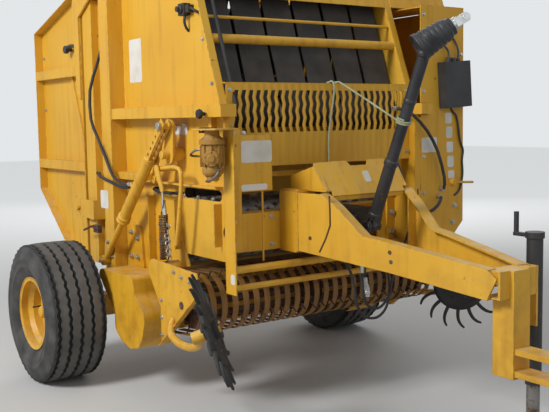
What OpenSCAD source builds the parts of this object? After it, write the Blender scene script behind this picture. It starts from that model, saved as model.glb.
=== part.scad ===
// Trailed round baler with belts, a tine pickup and two finger wheels.
// Millimetres. The machine faces -Y, its left side is +X, and it stands on Z = 0.
// Sizes along Y are measured from the axle, and stand() moves the axle to its place.

/* [Wheels] */
// Tyre outer diameter
tyre_d = 787; // [760:2:820]
// Tyre width
tyre_w = 336; // [300:2:350]
// Rim flange diameter
rim_d = 412; // [390:2:430]
// Rim width between its flanges
rim_w = 262; // [230:2:280]
// Distance between the two wheel centre planes
track = 2040; // [1990:5:2140]
// Number of grooves round each tyre
tyre_grooves = 5; // [3:1:6]
// Depth of the tyre grooves
groove_depth = 12; // [6:1:16]
// Spindle diameter
spindle_d = 60; // [50:1:66]

/* [Chamber] */
// Width inside the chamber
chamber_w = 1190; // [1100:10:1250]
// Thickness of the side sheets
sheet_t = 6; // [4:1:8]
// Reach of the posts and ribs outside the side sheets
rib_reach = 92; // [80:2:110]
// Height of the side sheets' bottom edge
sill_z = 600; // [580:5:640]
// Height of the sides' top edge
roof_z = 2440; // [2400:10:2520]
// Front edge of the sides behind the feed opening
front_y = 1260; // [1230:5:1290]
// Height where the front edge starts to lean back
lean_z = 1440; // [1400:10:1480]
// Lean of the front edge from upright, in degrees
lean = 20.4; // [18:0.2:22]
// Distance from the axle to the joint between body and tailgate
seam_y = 350; // [330:5:380]
// Width of the upright post over the axle
post_w = 120; // [100:5:140]

/* [Tailgate] */
// Distance from the axle to the rear face of the tailgate
gate_rear_y = 1160; // [1120:5:1200]
// Height of the tailgate's lower rear corner
gate_low_z = 1010; // [980:10:1060]
// Height of the tailgate's upper rear corner
gate_high_z = 2070; // [2030:10:2110]
// Reach of the tailgate's flanges outside its sheets
gate_flange = 54; // [44:1:60]
// Tailgate hinge pin diameter
hinge_d = 50; // [40:1:54]
// Height of the tailgate's hinge pin
hinge_z = 2270; // [2250:5:2280]
// Length of the lever from the hinge to the lift cylinder's pin
lug_arm = 230; // [215:5:245]

/* [Belts] */
// Width of each belt
belt_w = 178; // [170:1:184]
// Thickness of each belt
belt_t = 6; // [5:1:8]
// Number of belts
belts = 6; // [6:1:6]

/* [Pickup] */
// Half width of the pickup, to its side plates
pickup_half = 777; // [770:1:783]
// Distance in front of the axle of the reel's centre
reel_y = 1065; // [1060:1:1070]
// Height of the reel's centre
reel_z = 562; // [556:1:566]
// Radius of the stripper bands
band_r = 150; // [146:1:154]
// Radius at the tips of the tines
tine_r = 192; // [186:1:194]
// Number of stripper bands
bands = 25; // [24:1:26]
// Width of each stripper band
band_w = 32; // [28:1:34]
// Number of tine bars
tine_bars = 4; // [3:1:6]
// Reel shaft diameter
reel_shaft_d = 40; // [34:1:46]
// Diameter of the pins the pickup swings on
pivot_d = 50; // [40:1:54]

/* [Finger wheels] */
// Radius at the tips of the fingers
finger_r = 260; // [250:1:265]
// Number of fingers
fingers = 16; // [14:1:18]
// Thickness of a finger
finger_t = 26; // [22:1:28]

/* [Tongue and hitch] */
// Distance in front of the axle of the hitch pin
hitch_y = 2720; // [2690:5:2800]
// Height of the hitch pin plates' middle
hitch_z = 460; // [430:5:500]
// Hitch pin hole diameter
hitch_d = 33; // [30:1:36]
// Half width of the tongue where it leaves the body
tongue_half = 323; // [315:1:330]
// Thickness of the tongue's plates
tongue_t = 12; // [10:1:14]

/* [Jack] */
// Diameter of the jack's outer tube
jack_d = 70; // [66:1:74]
// Diameter of the jack's foot
foot_d = 160; // [140:5:180]
// Height of the pin the jack swings on
jack_z = 640; // [625:5:650]

/* [Hidden] */
$fn = 48;
run_clear = 0.05;
seat_gap = 0.3;
yellow = "#e0a526";
black = "#222224";
steel = "#8e8f92";
rubber = "#303032";

// Places worked out from the driving sizes
wall_x = chamber_w / 2;
out_x = wall_x + sheet_t;
rib_x = out_x + rib_reach;
gate_x = out_x + gate_flange;
wheel_z = tyre_d / 2;
front_len = hitch_y + 46;
middle_y = (gate_rear_y - front_len) / 2;
function front_at(z) = -front_y + max(0, z - lean_z) * tan(lean);

// Drawing helpers. side_plate takes x as Y and y as Z, and grows towards +X.
module stand() { translate([0, -middle_y, 0]) children(); }
module both() {
    children();
    mirror([1, 0, 0]) children();
}
module side_plate(x, t) { translate([x, 0, 0]) rotate([90, 0, 90]) linear_extrude(t) children(); }
module cross_round(x0, x1, y, z, d) {
    translate([x0, y, z]) rotate([0, 90, 0]) cylinder(h = x1 - x0, d = d);
}
module block(x, y, z) {
    translate([x[0], y[0], z[0]]) cube([x[1] - x[0], y[1] - y[0], z[1] - z[0]]);
}
module bar(a, b, d) {
    v = b - a;
    translate(a) rotate([0, acos(v.z / norm(v)), atan2(v.y, v.x)]) cylinder(h = norm(v), d = d);
}
module arm_plate(a, ra, b, rb) {
    v = b - a;
    turn = atan2(v.y, v.x);
    lead = acos((ra - rb) / norm(v));
    polygon(concat(
        [for (i = [0:8]) a + ra * [cos(turn + lead + i * (360 - 2 * lead) / 8),
                                   sin(turn + lead + i * (360 - 2 * lead) / 8)]],
        [for (i = [0:8]) b + rb * [cos(turn - lead + i * 2 * lead / 8),
                                   sin(turn - lead + i * 2 * lead / 8)]]));
}

// A bent tube through points: smooth() rounds the route and tube() sweeps it.
function unit(v) = v / norm(v);
function smooth(p, k = 3) = [
    for (i = [0:len(p) - 2])
        for (j = [0:k - 1])
            let (t = j / k, a = p[max(i - 1, 0)], b = p[i], c = p[i + 1], d = p[min(i + 2, len(p) - 1)])
            0.5 * (2 * b + (c - a) * t + (2 * a - 5 * b + 4 * c - d) * t * t
                + (3 * b - a - 3 * c + d) * t * t * t),
    p[len(p) - 1]
];
module tube(p, r, sides = 10, ref = [1, 0, 0]) {
    n = len(p);
    pts = [
        for (i = [0:n - 1])
            let (t = unit(p[min(i + 1, n - 1)] - p[max(i - 1, 0)]), u = unit(cross(t, ref)), v = cross(t, u))
            for (j = [0:sides - 1])
                p[i] + r * (u * cos(j * 360 / sides) + v * sin(j * 360 / sides))
    ];
    faces = concat(
        [[for (j = [0:sides - 1]) j]],
        [for (i = [0:n - 2]) for (j = [0:sides - 1])
            [i * sides + j, (i + 1) * sides + j,
             (i + 1) * sides + (j + 1) % sides, i * sides + (j + 1) % sides]],
        [[for (j = [sides - 1:-1:0]) (n - 1) * sides + j]]);
    polyhedron(points = pts, faces = faces, convexity = 6);
}

// A belt's loop round rolls listed as [y, z, radius] in counterclockwise order
function loop_leg(a, b) =
    let (v = [b[0] - a[0], b[1] - a[1]])
    atan2(v.y, v.x) - 90 + asin((a[2] - b[2]) / norm(v));
function loop_points(c, g, n = 6) = [
    for (i = [0:len(c) - 1])
        let (q = c[i], before = c[(i + len(c) - 1) % len(c)], after = c[(i + 1) % len(c)],
             a0 = loop_leg(before, q), a1 = loop_leg(q, after),
             span = (a1 - a0 + 720) % 360)
        for (k = [0:n])
            [q[0], q[1]] + (q[2] + g) / cos(span / n / 2) * [cos(a0 + span * k / n), sin(a0 + span * k / n)]
];
module belt_loop(c, x0, w) {
    side_plate(x0, w) difference() {
        polygon(loop_points(c, belt_t + seat_gap));
        polygon(loop_points(c, seat_gap));
    }
}
module belt_set(c) {
    pitch = chamber_w / belts;
    for (i = [0:belts - 1])
        belt_loop(c, -wall_x + (i + 0.5) * pitch - belt_w / 2, belt_w);
}

// Rolls of the body and of the tailgate, as [y, z, radius]
front_rolls = [[-1035, 1500, 72], [-560, 1660, 60], [-775, 2290, 72]];
feed_rolls = [[-870, 960, 110], [-560, 760, 90], [-200, 690, 80]];
gate_roll_table = [[590, 760, 65], [1050, 1080, 65], [1050, 1985, 60], [500, 2170, 60]];

// Body side: sheet, turned front edge, post over the axle, ribs and the pins it carries
wall_outline = [
    [seam_y, sill_z], [seam_y, roof_z - 128], [-60, roof_z], [front_at(roof_z), roof_z],
    [-front_y, lean_z], [-front_y, sill_z]
];
rib_low = 1476;
rib_h = 60;
lip = 36;
throat_y = -810;
throat_z = 772;
slot_y = [-1165, -790];
slot_z = 1092;
slot_h = 54;
chan_y = [215, 345];
hinge_y = seam_y - 170;
shaft_y = -1200;
shaft_z = 916;
module body_side() {
    difference() {
        union() {
            side_plate(-out_x, sheet_t) polygon(wall_outline);
            side_plate(-out_x - lip, lip + 1) polygon([
                [front_at(roof_z), roof_z], [-front_y, lean_z], [-front_y, 836],
                [-front_y + 8, 836], [-front_y + 8, lean_z - 1], [front_at(roof_z) + 8, roof_z]]);
            post();
            rear_channel();
            block([-rib_x + 6, -out_x + 1], [-1310, -post_w + 1], [rib_low, rib_low + rib_h]);
            block([-rib_x + 30, -out_x + 1], [-440, -post_w + 1], [1136, 1176]);
            block([-out_x - 44, -out_x + 1], [-1160, -1153], [846, 1056]);
            block([-out_x - 44, -out_x + 1], [-764, -757], [792, 1056]);
            block([-out_x - 44, -out_x + 1], [-464, -457], [640, 1056]);
            block([-out_x - 44, -out_x + 1], [-1180, -420], [1130, 1140]);
            block([-out_x - 30, -out_x + 1], [-1130, -1100], [1180, rib_low + 1]);
            block([-rib_x - 4, -out_x + 1], [cyl_base.x - 45, cyl_base.x + 45], [cyl_base.y - 40, roof_z - 4]);
        }
        block([-out_x - 60, -wall_x + 20], [-front_y - 60, throat_y], [sill_z - 20, throat_z]);
        side_plate(-out_x - 60, 100) slot_shape(slot_y, slot_z, slot_h);
        cross_round(-out_x - 30, -wall_x + 10, shaft_y, shaft_z, 60);
    }
    cross_round(-gate_x - 26, -out_x + 1, hinge_y, hinge_z, hinge_d);
    cross_round(-out_x - 12, -out_x + 1, hinge_y, hinge_z, hinge_d + 60);
    cross_round(-pickup_in - 64, -out_x + 1, pivot_y, pivot_z, pivot_d);
    side_plate(-out_x - 10, 11) arm_plate([pivot_y, pivot_z], 62, [pivot_y + 60, pivot_z + 130], 40);
    cross_round(-cyl_x - 24, -rib_x + 4, cyl_base.x, cyl_base.y, lug_d);
    cross_round(-tension_x - 30, -rib_x + 1, tension_foot.x, tension_foot.y, 30);
}
module slot_shape(y, z, h) { arm_plate([y[0] + h / 2, z], h / 2, [y[1] - h / 2, z], h / 2); }
module channel(x, y, z, t) {
    block([x, -out_x + 1], [y[0], y[0] + t], z);
    block([x, -out_x + 1], [y[1] - t, y[1]], z);
    block([x, x + t], y, z);
    block([x, -out_x + 1], y, [z[1] - t, z[1]]);
}
module post() { channel(-rib_x, [-post_w, 0], [sill_z, roof_z], 6); }
module rear_channel() { channel(-out_x - 46, chan_y, [sill_z, hinge_z - 80], 5); }
module right_wall() { color(yellow) body_side(); }
module left_wall() { color(yellow) mirror([1, 0, 0]) body_side(); }

// Cross members between the sides
beam_z = [822, 1010];
beam_y = [-1255, -1155];
module cross_frame() {
    color(yellow) {
        difference() {
            block([-wall_x + seat_gap, wall_x - seat_gap], beam_y, beam_z);
            block([-wall_x - 1, wall_x + 1], [beam_y[0] + 8, beam_y[1] + 1], [beam_z[0] + 8, beam_z[1] - 8]);
        }
        cross_round(-wall_x + seat_gap, wall_x - seat_gap, front_at(1860) + 28, 1860, 46);
        cross_round(-wall_x + seat_gap, wall_x - seat_gap, front_at(1968) + 20, 1968, 16);
        block([-wall_x + seat_gap, wall_x - seat_gap], [-1130, -1080], [1172, 1200]);
        block([-wall_x + seat_gap, wall_x - seat_gap], [160, 260], [sill_z + 10, sill_z + 90]);
        block([-wall_x + seat_gap, wall_x - seat_gap], [180, 260], [roof_z - 190, roof_z - 110]);
        block([-wall_x + seat_gap, wall_x - seat_gap], [-480, -400], [roof_z - 90, roof_z - 10]);
        block([-wall_x + seat_gap, wall_x - seat_gap], [-806, -655], [690, 696]);
        block([-wall_x + seat_gap, wall_x - seat_gap], [-806, -800], [606, 696]);
    }
}

// Axle beam, its hangers under the sides and the spindles
hanger_t = 14;
module axle() {
    hx = out_x + seat_gap;
    color(yellow) {
        block([-760, 760], [-60, 60], [wheel_z - 60, wheel_z + 60]);
        both() {
            side_plate(-hx - hanger_t, hanger_t) polygon([
                [-300, 860], [-post_w - 6, 900], [-post_w - 6, sill_z - 10], [6, sill_z - 10], [6, 900],
                [180, 860], [208, 640], [130, wheel_z - 60], [-130, wheel_z - 60], [-330, 640]]);
            block([-690, -hx + 1], [-60, 60], [sill_z - 60, sill_z - 10.3]);
            cross_round(-track / 2 - 60, -759, 0, wheel_z, spindle_d);
            cross_round(-track / 2 - 78, -track / 2 - 59, 0, wheel_z, spindle_d - 10);
        }
    }
}

// Road wheels: ribbed tyre and dished rim, turned about the X axis
rim_shell = 7;
module wheel_turn(side) {
    translate([side * track / 2, 0, wheel_z]) rotate([0, side * 90, 0]) children();
}
shoulder = 46;
module tyre_profile() {
    ro = tyre_d / 2;
    ri = rim_d / 2 - 16;
    h = tyre_w / 2;
    bulge = 14;
    difference() {
        polygon(concat(
            [[ri, -rim_w / 2 + 14], [rim_d / 2 + 6, -rim_w / 2 - 2]],
            [[(ro + ri) / 2 - 20, -h]],
            [for (a = [0:30:90]) [ro - shoulder + shoulder * sin(a), -h + bulge + (shoulder - bulge) * (1 - cos(a))]],
            [for (a = [90:-30:0]) [ro - shoulder + shoulder * sin(a), h - bulge - (shoulder - bulge) * (1 - cos(a))]],
            [[(ro + ri) / 2 - 20, h]],
            [[rim_d / 2 + 6, rim_w / 2 + 2], [ri, rim_w / 2 - 14]]));
        land = (tyre_w - 2 * shoulder + 10) / (tyre_grooves - 1);
        for (i = [0:tyre_grooves - 1])
            translate([ro - groove_depth, (i - (tyre_grooves - 1) / 2) * land - 7]) square([groove_depth + 1, 14]);
    }
}
module tyre(side) { color(rubber) wheel_turn(side) rotate_extrude($fn = 56) tyre_profile(); }
module rim(side) {
    w = rim_w / 2;
    r = rim_d / 2;
    bead = r - 16 - seat_gap;
    color("#e3ab2c") wheel_turn(side) difference() {
        rotate_extrude($fn = 64) polygon([
            [spindle_d / 2 + run_clear, -40], [62, -40], [66, -14], [r - 70, 26], [r - 52, 10], [bead - 26, 0],
            [bead - 26, -w + 60], [bead - rim_shell, -w + 34], [bead - rim_shell, -w - 4], [r - 6, -w - 4],
            [r - 4, -w - 8], [r, -w - 8], [r, -w], [bead, -w + 6], [bead, -w + 30], [bead - 18, -w + 56],
            [bead - 18, w - 56], [bead, w - 30], [bead, w - 6], [r, w], [r, w + 8], [r - 4, w + 8], [r - 6, w + 4],
            [bead - rim_shell, w + 4], [bead - rim_shell, w - 34], [bead - 26, w - 60], [bead - 26, 10],
            [r - 48, 22], [r - 68, 36], [60, -4], [52, 46], [spindle_d / 2 + run_clear, 46]]);
        for (a = [0:60:300])
            rotate(a + 30) translate([104, 0, -50]) cylinder(h = 100, d = 22);
    }
}
module right_tyre() { tyre(-1); }
module left_tyre() { tyre(1); }
module right_rim() { rim(-1); }
module left_rim() { rim(1); }

// Tongue: two tapered channels that meet at the hitch
root_y = 1390.3;
tongue_tip = 2440;
tip_half = 122;
beam_front = 1255;
member_turn = atan((tongue_half - tip_half) / (tongue_tip - root_y));
member_long = (tongue_tip - root_y) / cos(member_turn);
tongue_side = [
    [3, 826], [3, 1110], [160, 1110], [255, 1050], [410, 926], [500, 918],
    [member_long - 20, 842], [member_long + 20, 812], [member_long - 24, 716], [560, 776]
];
member_web = [
    [-3, 830], [-3, 1106], [-160, 1106], [-255, 1046], [-410, 922], [-500, 914],
    [-member_long + 20, 838], [-member_long - 18, 808], [-member_long + 24, 720], [-560, 780]
];
function member_run(a, b) = [[-a[0], a[1]], [-b[0], b[1]], [-b[0], b[1] - 9], [-a[0], a[1] - 9]];
module member() {
    translate([-tongue_half, -root_y, 0]) rotate(member_turn) {
        side_plate(0, tongue_t) polygon(member_web);
        for (i = [2:5])
            side_plate(0, 60) polygon(member_run(tongue_side[i], tongue_side[i + 1]));
        side_plate(0, 60) polygon(member_run([16, 834], [560, 785]));
        side_plate(0, 60) polygon(member_run([560, 785], [member_long - 24, 725]));
        block([1, 59], [-222, -214], [812, 1066]);
    }
}
module tongue() {
    color(yellow) {
        both() {
            member();
            block([-tongue_half, -tongue_half + 66], [-root_y - 14, -root_y], [822, 1110]);
        }
        block([-tip_half + 12, tip_half - 12], [-2470, -2380], [722, 730]);
        block([-tip_half + 12, tip_half - 12], [-2470, -2380], [830, 838]);
        block([-tip_half + 12, tip_half - 12], [-2470, -2458], [722, 838]);
        hitch();
        jack_bracket();
    }
}
module hitch() {
    difference() {
        union() {
            block([-50, 50], [-tongue_tip - 50, -tongue_tip - 20], [hitch_z - 70, 838]);
            for (x = [-50, 38])
                block([x, x + 12], [-tongue_tip - 30, -tongue_tip + 60], [hitch_z - 70, 725]);
            for (z = [-58, 34])
                translate([0, 0, hitch_z + z]) linear_extrude(24)
                    arm_plate([0, -hitch_y], 46, [0, -tongue_tip - 60], 45);
        }
        translate([0, -hitch_y, hitch_z - 80]) cylinder(h = 160, d = hitch_d);
    }
}
jack_x = 214;
jack_y = -2380;
boss_x = jack_x - jack_d / 2 - 26;
module jack_bracket() {
    block([tip_half - 10, boss_x - 3], [jack_y - 70, jack_y + 60], [735, 800]);
    block([boss_x - 16, boss_x - 3], [jack_y - 70, jack_y + 60], [jack_z - 62, 836]);
    cross_round(boss_x - 4, boss_x + 44, jack_y, jack_z, 30);
}

// Root boxes that tie the tongue to the cross beam, with the cover over the gearbox
cover_low = [-1560, 1092];
cover_lean = 32.8;
module tongue_head() {
    color(yellow) {
        both() {
            difference() {
                block([-tongue_half, -tongue_half + 120], [-root_y + seat_gap, -beam_front - seat_gap], [815, 1112]);
                block([-tongue_half + 10, -tongue_half + 121], [-root_y + 10, -beam_front + 1], [825, 1102]);
            }
            side_plate(-254, 8) polygon([
                [-beam_front - seat_gap, 1112.3], [cover_low.x + 8, 1112.3], [cover_low.x + 8, cover_low.y + 30],
                [cover_low.x + 90, cover_low.y + 150], [-beam_front - seat_gap, 1180]]);
            block([-310, -200], [-root_y + seat_gap, -beam_front - seat_gap], [1111, 1120]);
        }
        block([-226, 226], [cover_low.x + 2, cover_low.x + 40], [1072, 1094]);
        translate([0, cover_low.x, cover_low.y]) rotate([90 - cover_lean, 0, 0]) linear_extrude(7)
            polygon([[-226, 0], [226, 0], [228, 27], [257, 27], [250, 184], [150, 190], [70, 190], [52, 160],
                     [-52, 160], [-70, 190], [-270, 184], [-282, 150], [-259, 27], [-228, 27]]);
    }
}

// Gearbox on the cross beam, and the driveline folded up and tied to the rack
gear_y = -1385;
gear_z = 930;
module gearbox() {
    color(black) {
        block([-100, 100], [gear_y - 76, -beam_front - seat_gap], [gear_z - 96, gear_z + 86]);
        translate([0, gear_y - 75, gear_z]) rotate([90, 0, 0]) cylinder(h = 40, d = 124);
        translate([0, gear_y - 110, gear_z]) rotate([90, 0, 0]) cylinder(h = 50, d = 45);
        for (x = [-100, 100])
            cross_round(x - 14, x + 14, gear_y + 20, gear_z, 110);
    }
}
shaft_foot = [0, -1580, 945];
shaft_top = [40, -1975, 1745];
yoke_d = 35;
bell_way = unit([0.63, -0.44, 0.64]);
shaft_way = unit(shaft_top - shaft_foot);
bell_at = shaft_top + [6, -14, 66];
module driveline() {
    color(black) {
        translate([0, gear_y - 160.3, gear_z]) rotate([90, 0, 0]) cylinder(h = 24, d = 76);
        cross_round(-38, 38, shaft_foot.y, shaft_foot.z, 66);
        bar(shaft_foot, shaft_foot + shaft_way * 330, 62);
        bar(shaft_foot + shaft_way * 329, shaft_foot + shaft_way * 923, 54);
        difference() {
            bar(bell_at + bell_way * 190.3, bell_at + bell_way * 250, 66);
            bar(bell_at + bell_way * 200, bell_at + bell_way * 251, yoke_d);
        }
    }
}
module driveline_shields() {
    color(black) {
        bar(shaft_foot + shaft_way * 923.3, shaft_foot + shaft_way * 990, 124);
        bar(bell_at, bell_at + bell_way * 150, 156);
        bar(bell_at + bell_way * 149, bell_at + bell_way * 190, 84);
    }
}

// Slotted rack over the feed opening, its slots cut in zigzags as on the real sheet
rack_y = -1214;
rack_z = [1232, 1642];
rack_slots = 26;
slot_low = 1398;
slot_steps = 6;
module rack() {
    pitch = (chamber_w - 70) / rack_slots;
    w = chamber_w / 2 - seat_gap;
    color(yellow) difference() {
        union() {
            block([-w, w], [rack_y, rack_y + 5], rack_z);
            block([-w, w], [rack_y, rack_y + 40], [rack_z[1] - 6, rack_z[1]]);
            block([-w, w], [rack_y, rack_y + 60], [rack_z[0], rack_z[0] + 6]);
        }
        for (i = [0:rack_slots - 1])
            translate([-wall_x + 35 + (i + 0.5) * pitch, rack_y + 10, slot_low]) rotate([90, 0, 0])
                linear_extrude(20) zigzag_slot(206, pitch * 0.42, i < rack_slots / 2 ? 7 : -7);
    }
}
module zigzag_slot(h, w, sway) {
    polygon(concat(
        [for (i = [0:slot_steps]) [sway * (i % 2) - w / 2, i * h / slot_steps]],
        [for (i = [slot_steps:-1:0]) [sway * (i % 2) + w / 2, i * h / slot_steps]]));
}

// Hood across the top of the front, reaching over the drive side
hood_z = [2078, 2432];
case_x = 980;
wing_x = 1075;
function hood_shape(t) = [
    [front_at(hood_z[0]) - t, hood_z[0]], [front_at(hood_z[1]) - t, hood_z[1]], [-600, hood_z[1]],
    [-600, hood_z[1] - 6], [front_at(hood_z[1]) + 8 - t, hood_z[1] - 6], [front_at(hood_z[0]) + 6 - t, hood_z[0]]];
module front_hood() {
    color(yellow) {
        side_plate(-wall_x + seat_gap, chamber_w - 2 * seat_gap) polygon(hood_shape(0));
        side_plate(out_x + lip + seat_gap, wing_x - out_x - lip) difference() {
            polygon([[front_at(2070), 2081], [front_at(2300), 2300], [front_at(2300) + 190, 2300], [front_at(2070) + 190, 2081]]);
            polygon([[front_at(2070) + 8, 2086], [front_at(2300) + 6, 2295], [front_at(2300) + 191, 2295], [front_at(2070) + 191, 2086]]);
        }
    }
}

// Rolls inside the body
module roll_set(table) {
    for (r = table) {
        cross_round(-wall_x + 4, wall_x - 4, r[0], r[1], 2 * r[2]);
        cross_round(-wall_x + seat_gap, wall_x - seat_gap, r[0], r[1], 50);
    }
}
module rolls() {
    color(steel) {
        roll_set(front_rolls);
        roll_set(feed_rolls);
    }
}
module front_belts() { color(rubber) belt_set(front_rolls); }
module rear_belts() { color(rubber) belt_set(gate_roll_table); }

// Drive side: shaft and sprockets, the case round them and its door
sprocket_x = rib_x + 14;
sprocket_table = [[-870, 960, 120], [-560, 760, 80]];
input_table = [[-1200, 916, 40], [-870, 960, 90]];
case_y = [-1262, 284];
case_z = [860, 2072];
door_pin = [case_x - 24, 306];
module drive_sprockets() {
    color(steel) {
        for (s = sprocket_table)
            cross_round(sprocket_x, sprocket_x + 14, s[0], s[1], 2 * s[2]);
        for (s = sprocket_table)
            cross_round(out_x + seat_gap, sprocket_x + 1, s[0], s[1], 60);
        cross_round(-40, sprocket_x + 28, shaft_y, shaft_z, 45);
        for (s = input_table)
            cross_round(sprocket_x + 27, sprocket_x + 41, s[0], s[1], 2 * s[2]);
        cross_round(sprocket_x + 13, sprocket_x + 28, -870, 960, 60);
        drive_chain(sprocket_table, sprocket_x + 2);
        drive_chain(input_table, sprocket_x + 29);
        cross_round(out_x + seat_gap, out_x + 18, shaft_y, shaft_z, 76);
    }
}
module drive_chain(table, x) {
    side_plate(x, 10) difference() {
        polygon(loop_points(table, 8, 12));
        polygon(loop_points(table, seat_gap, 12));
    }
}
module drive_case() {
    x0 = out_x + lip + seat_gap;
    color(yellow) {
        difference() {
            block([x0, case_x - 7], [case_y[0], case_y[0] + 6], [780, case_z[1]]);
            translate([case_x - 7, case_y[0] - 1, 780]) rotate([0, 45, 0]) translate([-56, 0, -56]) cube([112, 10, 112]);
            block([x0 - 1, rib_x - 4], [case_y[0] - 1, case_y[0] + 7], [rib_low - 2, rib_low + rib_h + 2]);
        }
        block([rib_x + seat_gap, case_x - 46], [case_y[0] + 5, case_y[1]], [case_z[1] - 6, case_z[1]]);
        block([rib_x + seat_gap, case_x - 46], [case_y[1] - 6, case_y[1]], [case_z[0] + 10, case_z[1]]);
        block([out_x + 52, rib_x + seat_gap + 1], [case_y[1] - 6, case_y[1]], [1200, case_z[1]]);
        bar([880, case_y[0] - 16, 1088], [1040, case_y[0] - 16, 1080], 14);
        translate([886, case_y[0] + 1, 1088]) rotate([90, 0, 0]) cylinder(h = 26, d = 40);
        for (z = [980, 1880])
            door_knuckle(z, z + 40);
        for (z = [984, 1884])
            block([case_x - 60, door_pin.x], [case_y[1] - 1, door_pin.y], [z, z + 32]);
    }
}
module door_knuckle(z0, z1) {
    translate([door_pin.x, door_pin.y, z0]) cylinder(h = z1 - z0, d = 24);
    translate([door_pin.x, door_pin.y, z1 - 1]) cylinder(h = 44, d = 14);
}
module drive_door() {
    t = 4;
    y0 = case_y[0] + 12;
    color(yellow) {
        difference() {
            block([case_x - 40, case_x], [y0, case_y[1] - 7], [case_z[0], case_z[1] - 8]);
            block([case_x - 41, case_x - t], [y0 + t, case_y[1] - 7 - t], [case_z[0] + t, case_z[1] - 8 - t]);
        }
        for (z = [1022, 1922])
            difference() {
                union() {
                    translate([door_pin.x, door_pin.y, z]) cylinder(h = 36, d = 24);
                    block([door_pin.x + 4, case_x - 2], [case_y[1] - 9, door_pin.y], [z, z + 36]);
                }
                translate([door_pin.x, door_pin.y, z - 1]) cylinder(h = 38, d = 14 + 2 * run_clear);
            }
    }
}
module control_box() {
    color(black) {
        translate([872, case_y[0] - seat_gap, 1640]) rotate([0, -4, 0]) translate([-98, -64, -128]) cube([196, 64, 256]);
    }
}

// Right front corner: the twine box with its post, and the drive on a shelf
module twine_box() {
    color(yellow) {
        block([-585, -400], [-1306, -1300], [1120, 1390]);
        block([-585, -578], [-1301, -front_y - 10], [1120, 1390]);
        block([-out_x - 46, -578], [-1306, -1300], [836, 1424]);
        block([-out_x - 46, -out_x - 40], [-1350, -front_y - seat_gap], [836, 1424]);
        block([-out_x - 46, -578], [-front_y - 10, -front_y - seat_gap], [1100, 1424]);
        block([-775, -out_x - 41], [-1400, -1190], [1416, 1424]);
        translate([-458, -1303, 780]) cylinder(h = 341, d = 10);
    }
}
module twine_motor() {
    color(yellow) {
        translate([-712, -1270, 1200]) cylinder(h = 150, d = 104);
        translate([-712, -1270, 1349]) cylinder(h = 24, d = 124);
        translate([-712, -1270, 1372]) cylinder(h = 43.7, d = 70);
        translate([-712, -1270, 1180]) cylinder(h = 21, d = 60);
    }
}

// Belt tension cylinders on the outside of the sides, with the levers they hold
tension_x = rib_x + 20;
tension_top = [-800, 1436];
tension_foot = [-30, 655];
tension_pivot = [-779, 1289];
port = [-422, 1118.6];
module tension_line(a, b, d) {
    v = tension_foot - tension_top;
    p = tension_top + v * a;
    q = tension_top + v * b;
    bar([-tension_x, p.x, p.y], [-tension_x, q.x, q.y], d);
}
module tension_barrels() {
    color(yellow) both() {
        tension_line(0.02, 0.66, 62);
        tension_line(0.64, 0.68, 76);
        cross_round(-tension_x - 26, -tension_x + 26, tension_top.x, tension_top.y, 56);
        bar([-tension_x, -455, 1086], [-tension_x, port.x, port.y], 20);
        cross_round(-tension_x - 12, -tension_x + 12, port.x, port.y, 26);
    }
}
module tension_rods() {
    color(yellow) both() difference() {
        union() {
            tension_line(0.6805, 0.97, 34);
            cross_round(-tension_x - 22, -tension_x + 18, tension_foot.x, tension_foot.y, 60);
        }
        cross_round(-tension_x - 40, -tension_x + 40, tension_foot.x, tension_foot.y, 30 + 2 * seat_gap);
    }
}
module tension_levers() {
    color(yellow) both() {
        side_plate(-tension_x + 32, 14) arm_plate(tension_pivot, 52, tension_top, 34);
        cross_round(-tension_x + 26.3, -tension_x + 33, tension_top.x, tension_top.y, 40);
        cross_round(-tension_x + 44, -out_x - seat_gap, tension_pivot.x, tension_pivot.y, 70);
        cross_round(-tension_x - 10, -tension_x + 33, tension_pivot.x, tension_pivot.y, 44);
    }
}

// Guards in front of the road wheels
fender_x = 820;
fender_mid = [-450, 440];
fender_outline = [
    [-200, 640], [-167, 612], [-230, 540], [-318, 468], [-367, 406], [-367, 321], [-446, 269], [-543, 245],
    [-641, 265], [-691, 318], [-728, 426], [-717, 461], [-678, 505], [-620, 545], [-600, 640]
];
module fenders() {
    color(yellow) both() {
        side_plate(-fender_x, 5) polygon(fender_outline);
        side_plate(-fender_x, fender_x - out_x - hanger_t - 2 * seat_gap) difference() {
            polygon(fender_outline);
            translate(fender_mid) scale([0.965, 0.965]) translate(-fender_mid) polygon(fender_outline);
            translate([-400, 200]) square([300, 330]);
            translate([-600, 200]) square([300, 60]);
        }
    }
}

// Lift linkage of the pickup on the right side
module lift_linkage() {
    color(yellow) {
        cross_round(-722, -out_x - seat_gap, -720, 1216, 30);
        side_plate(-724, 8) arm_plate([-720, 1216], 22, [-774, 1112], 16);
        tube(smooth([[-700, -720, 1216], [-700, -800, 1224], [-700, -880, 1228], [-700, -936, 1212],
                     [-700, -942, 1150], [-700, -905, 960], [-700, -872, 830]]), 11);
    }
}

// Chain of the lift, with its turnbuckle, hung from the linkage's arm
link_r = 13;
links = 10;
module lift_chain() {
    color(steel) translate([-720, -775.5, 1095.6]) rotate([-10, 0, 0]) {
        translate([0, 0, -152]) cylinder(h = 152, d = 12);
        translate([0, 0, -122]) cylinder(h = 84, d = 24);
        for (i = [0:links - 1])
            translate([0, 0, -167 - 19 * i]) rotate([i % 2 * 90, 90, 0])
                rotate_extrude($fn = 12) translate([link_r, 0]) circle(r = 3.2, $fn = 6);
    }
}

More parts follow.
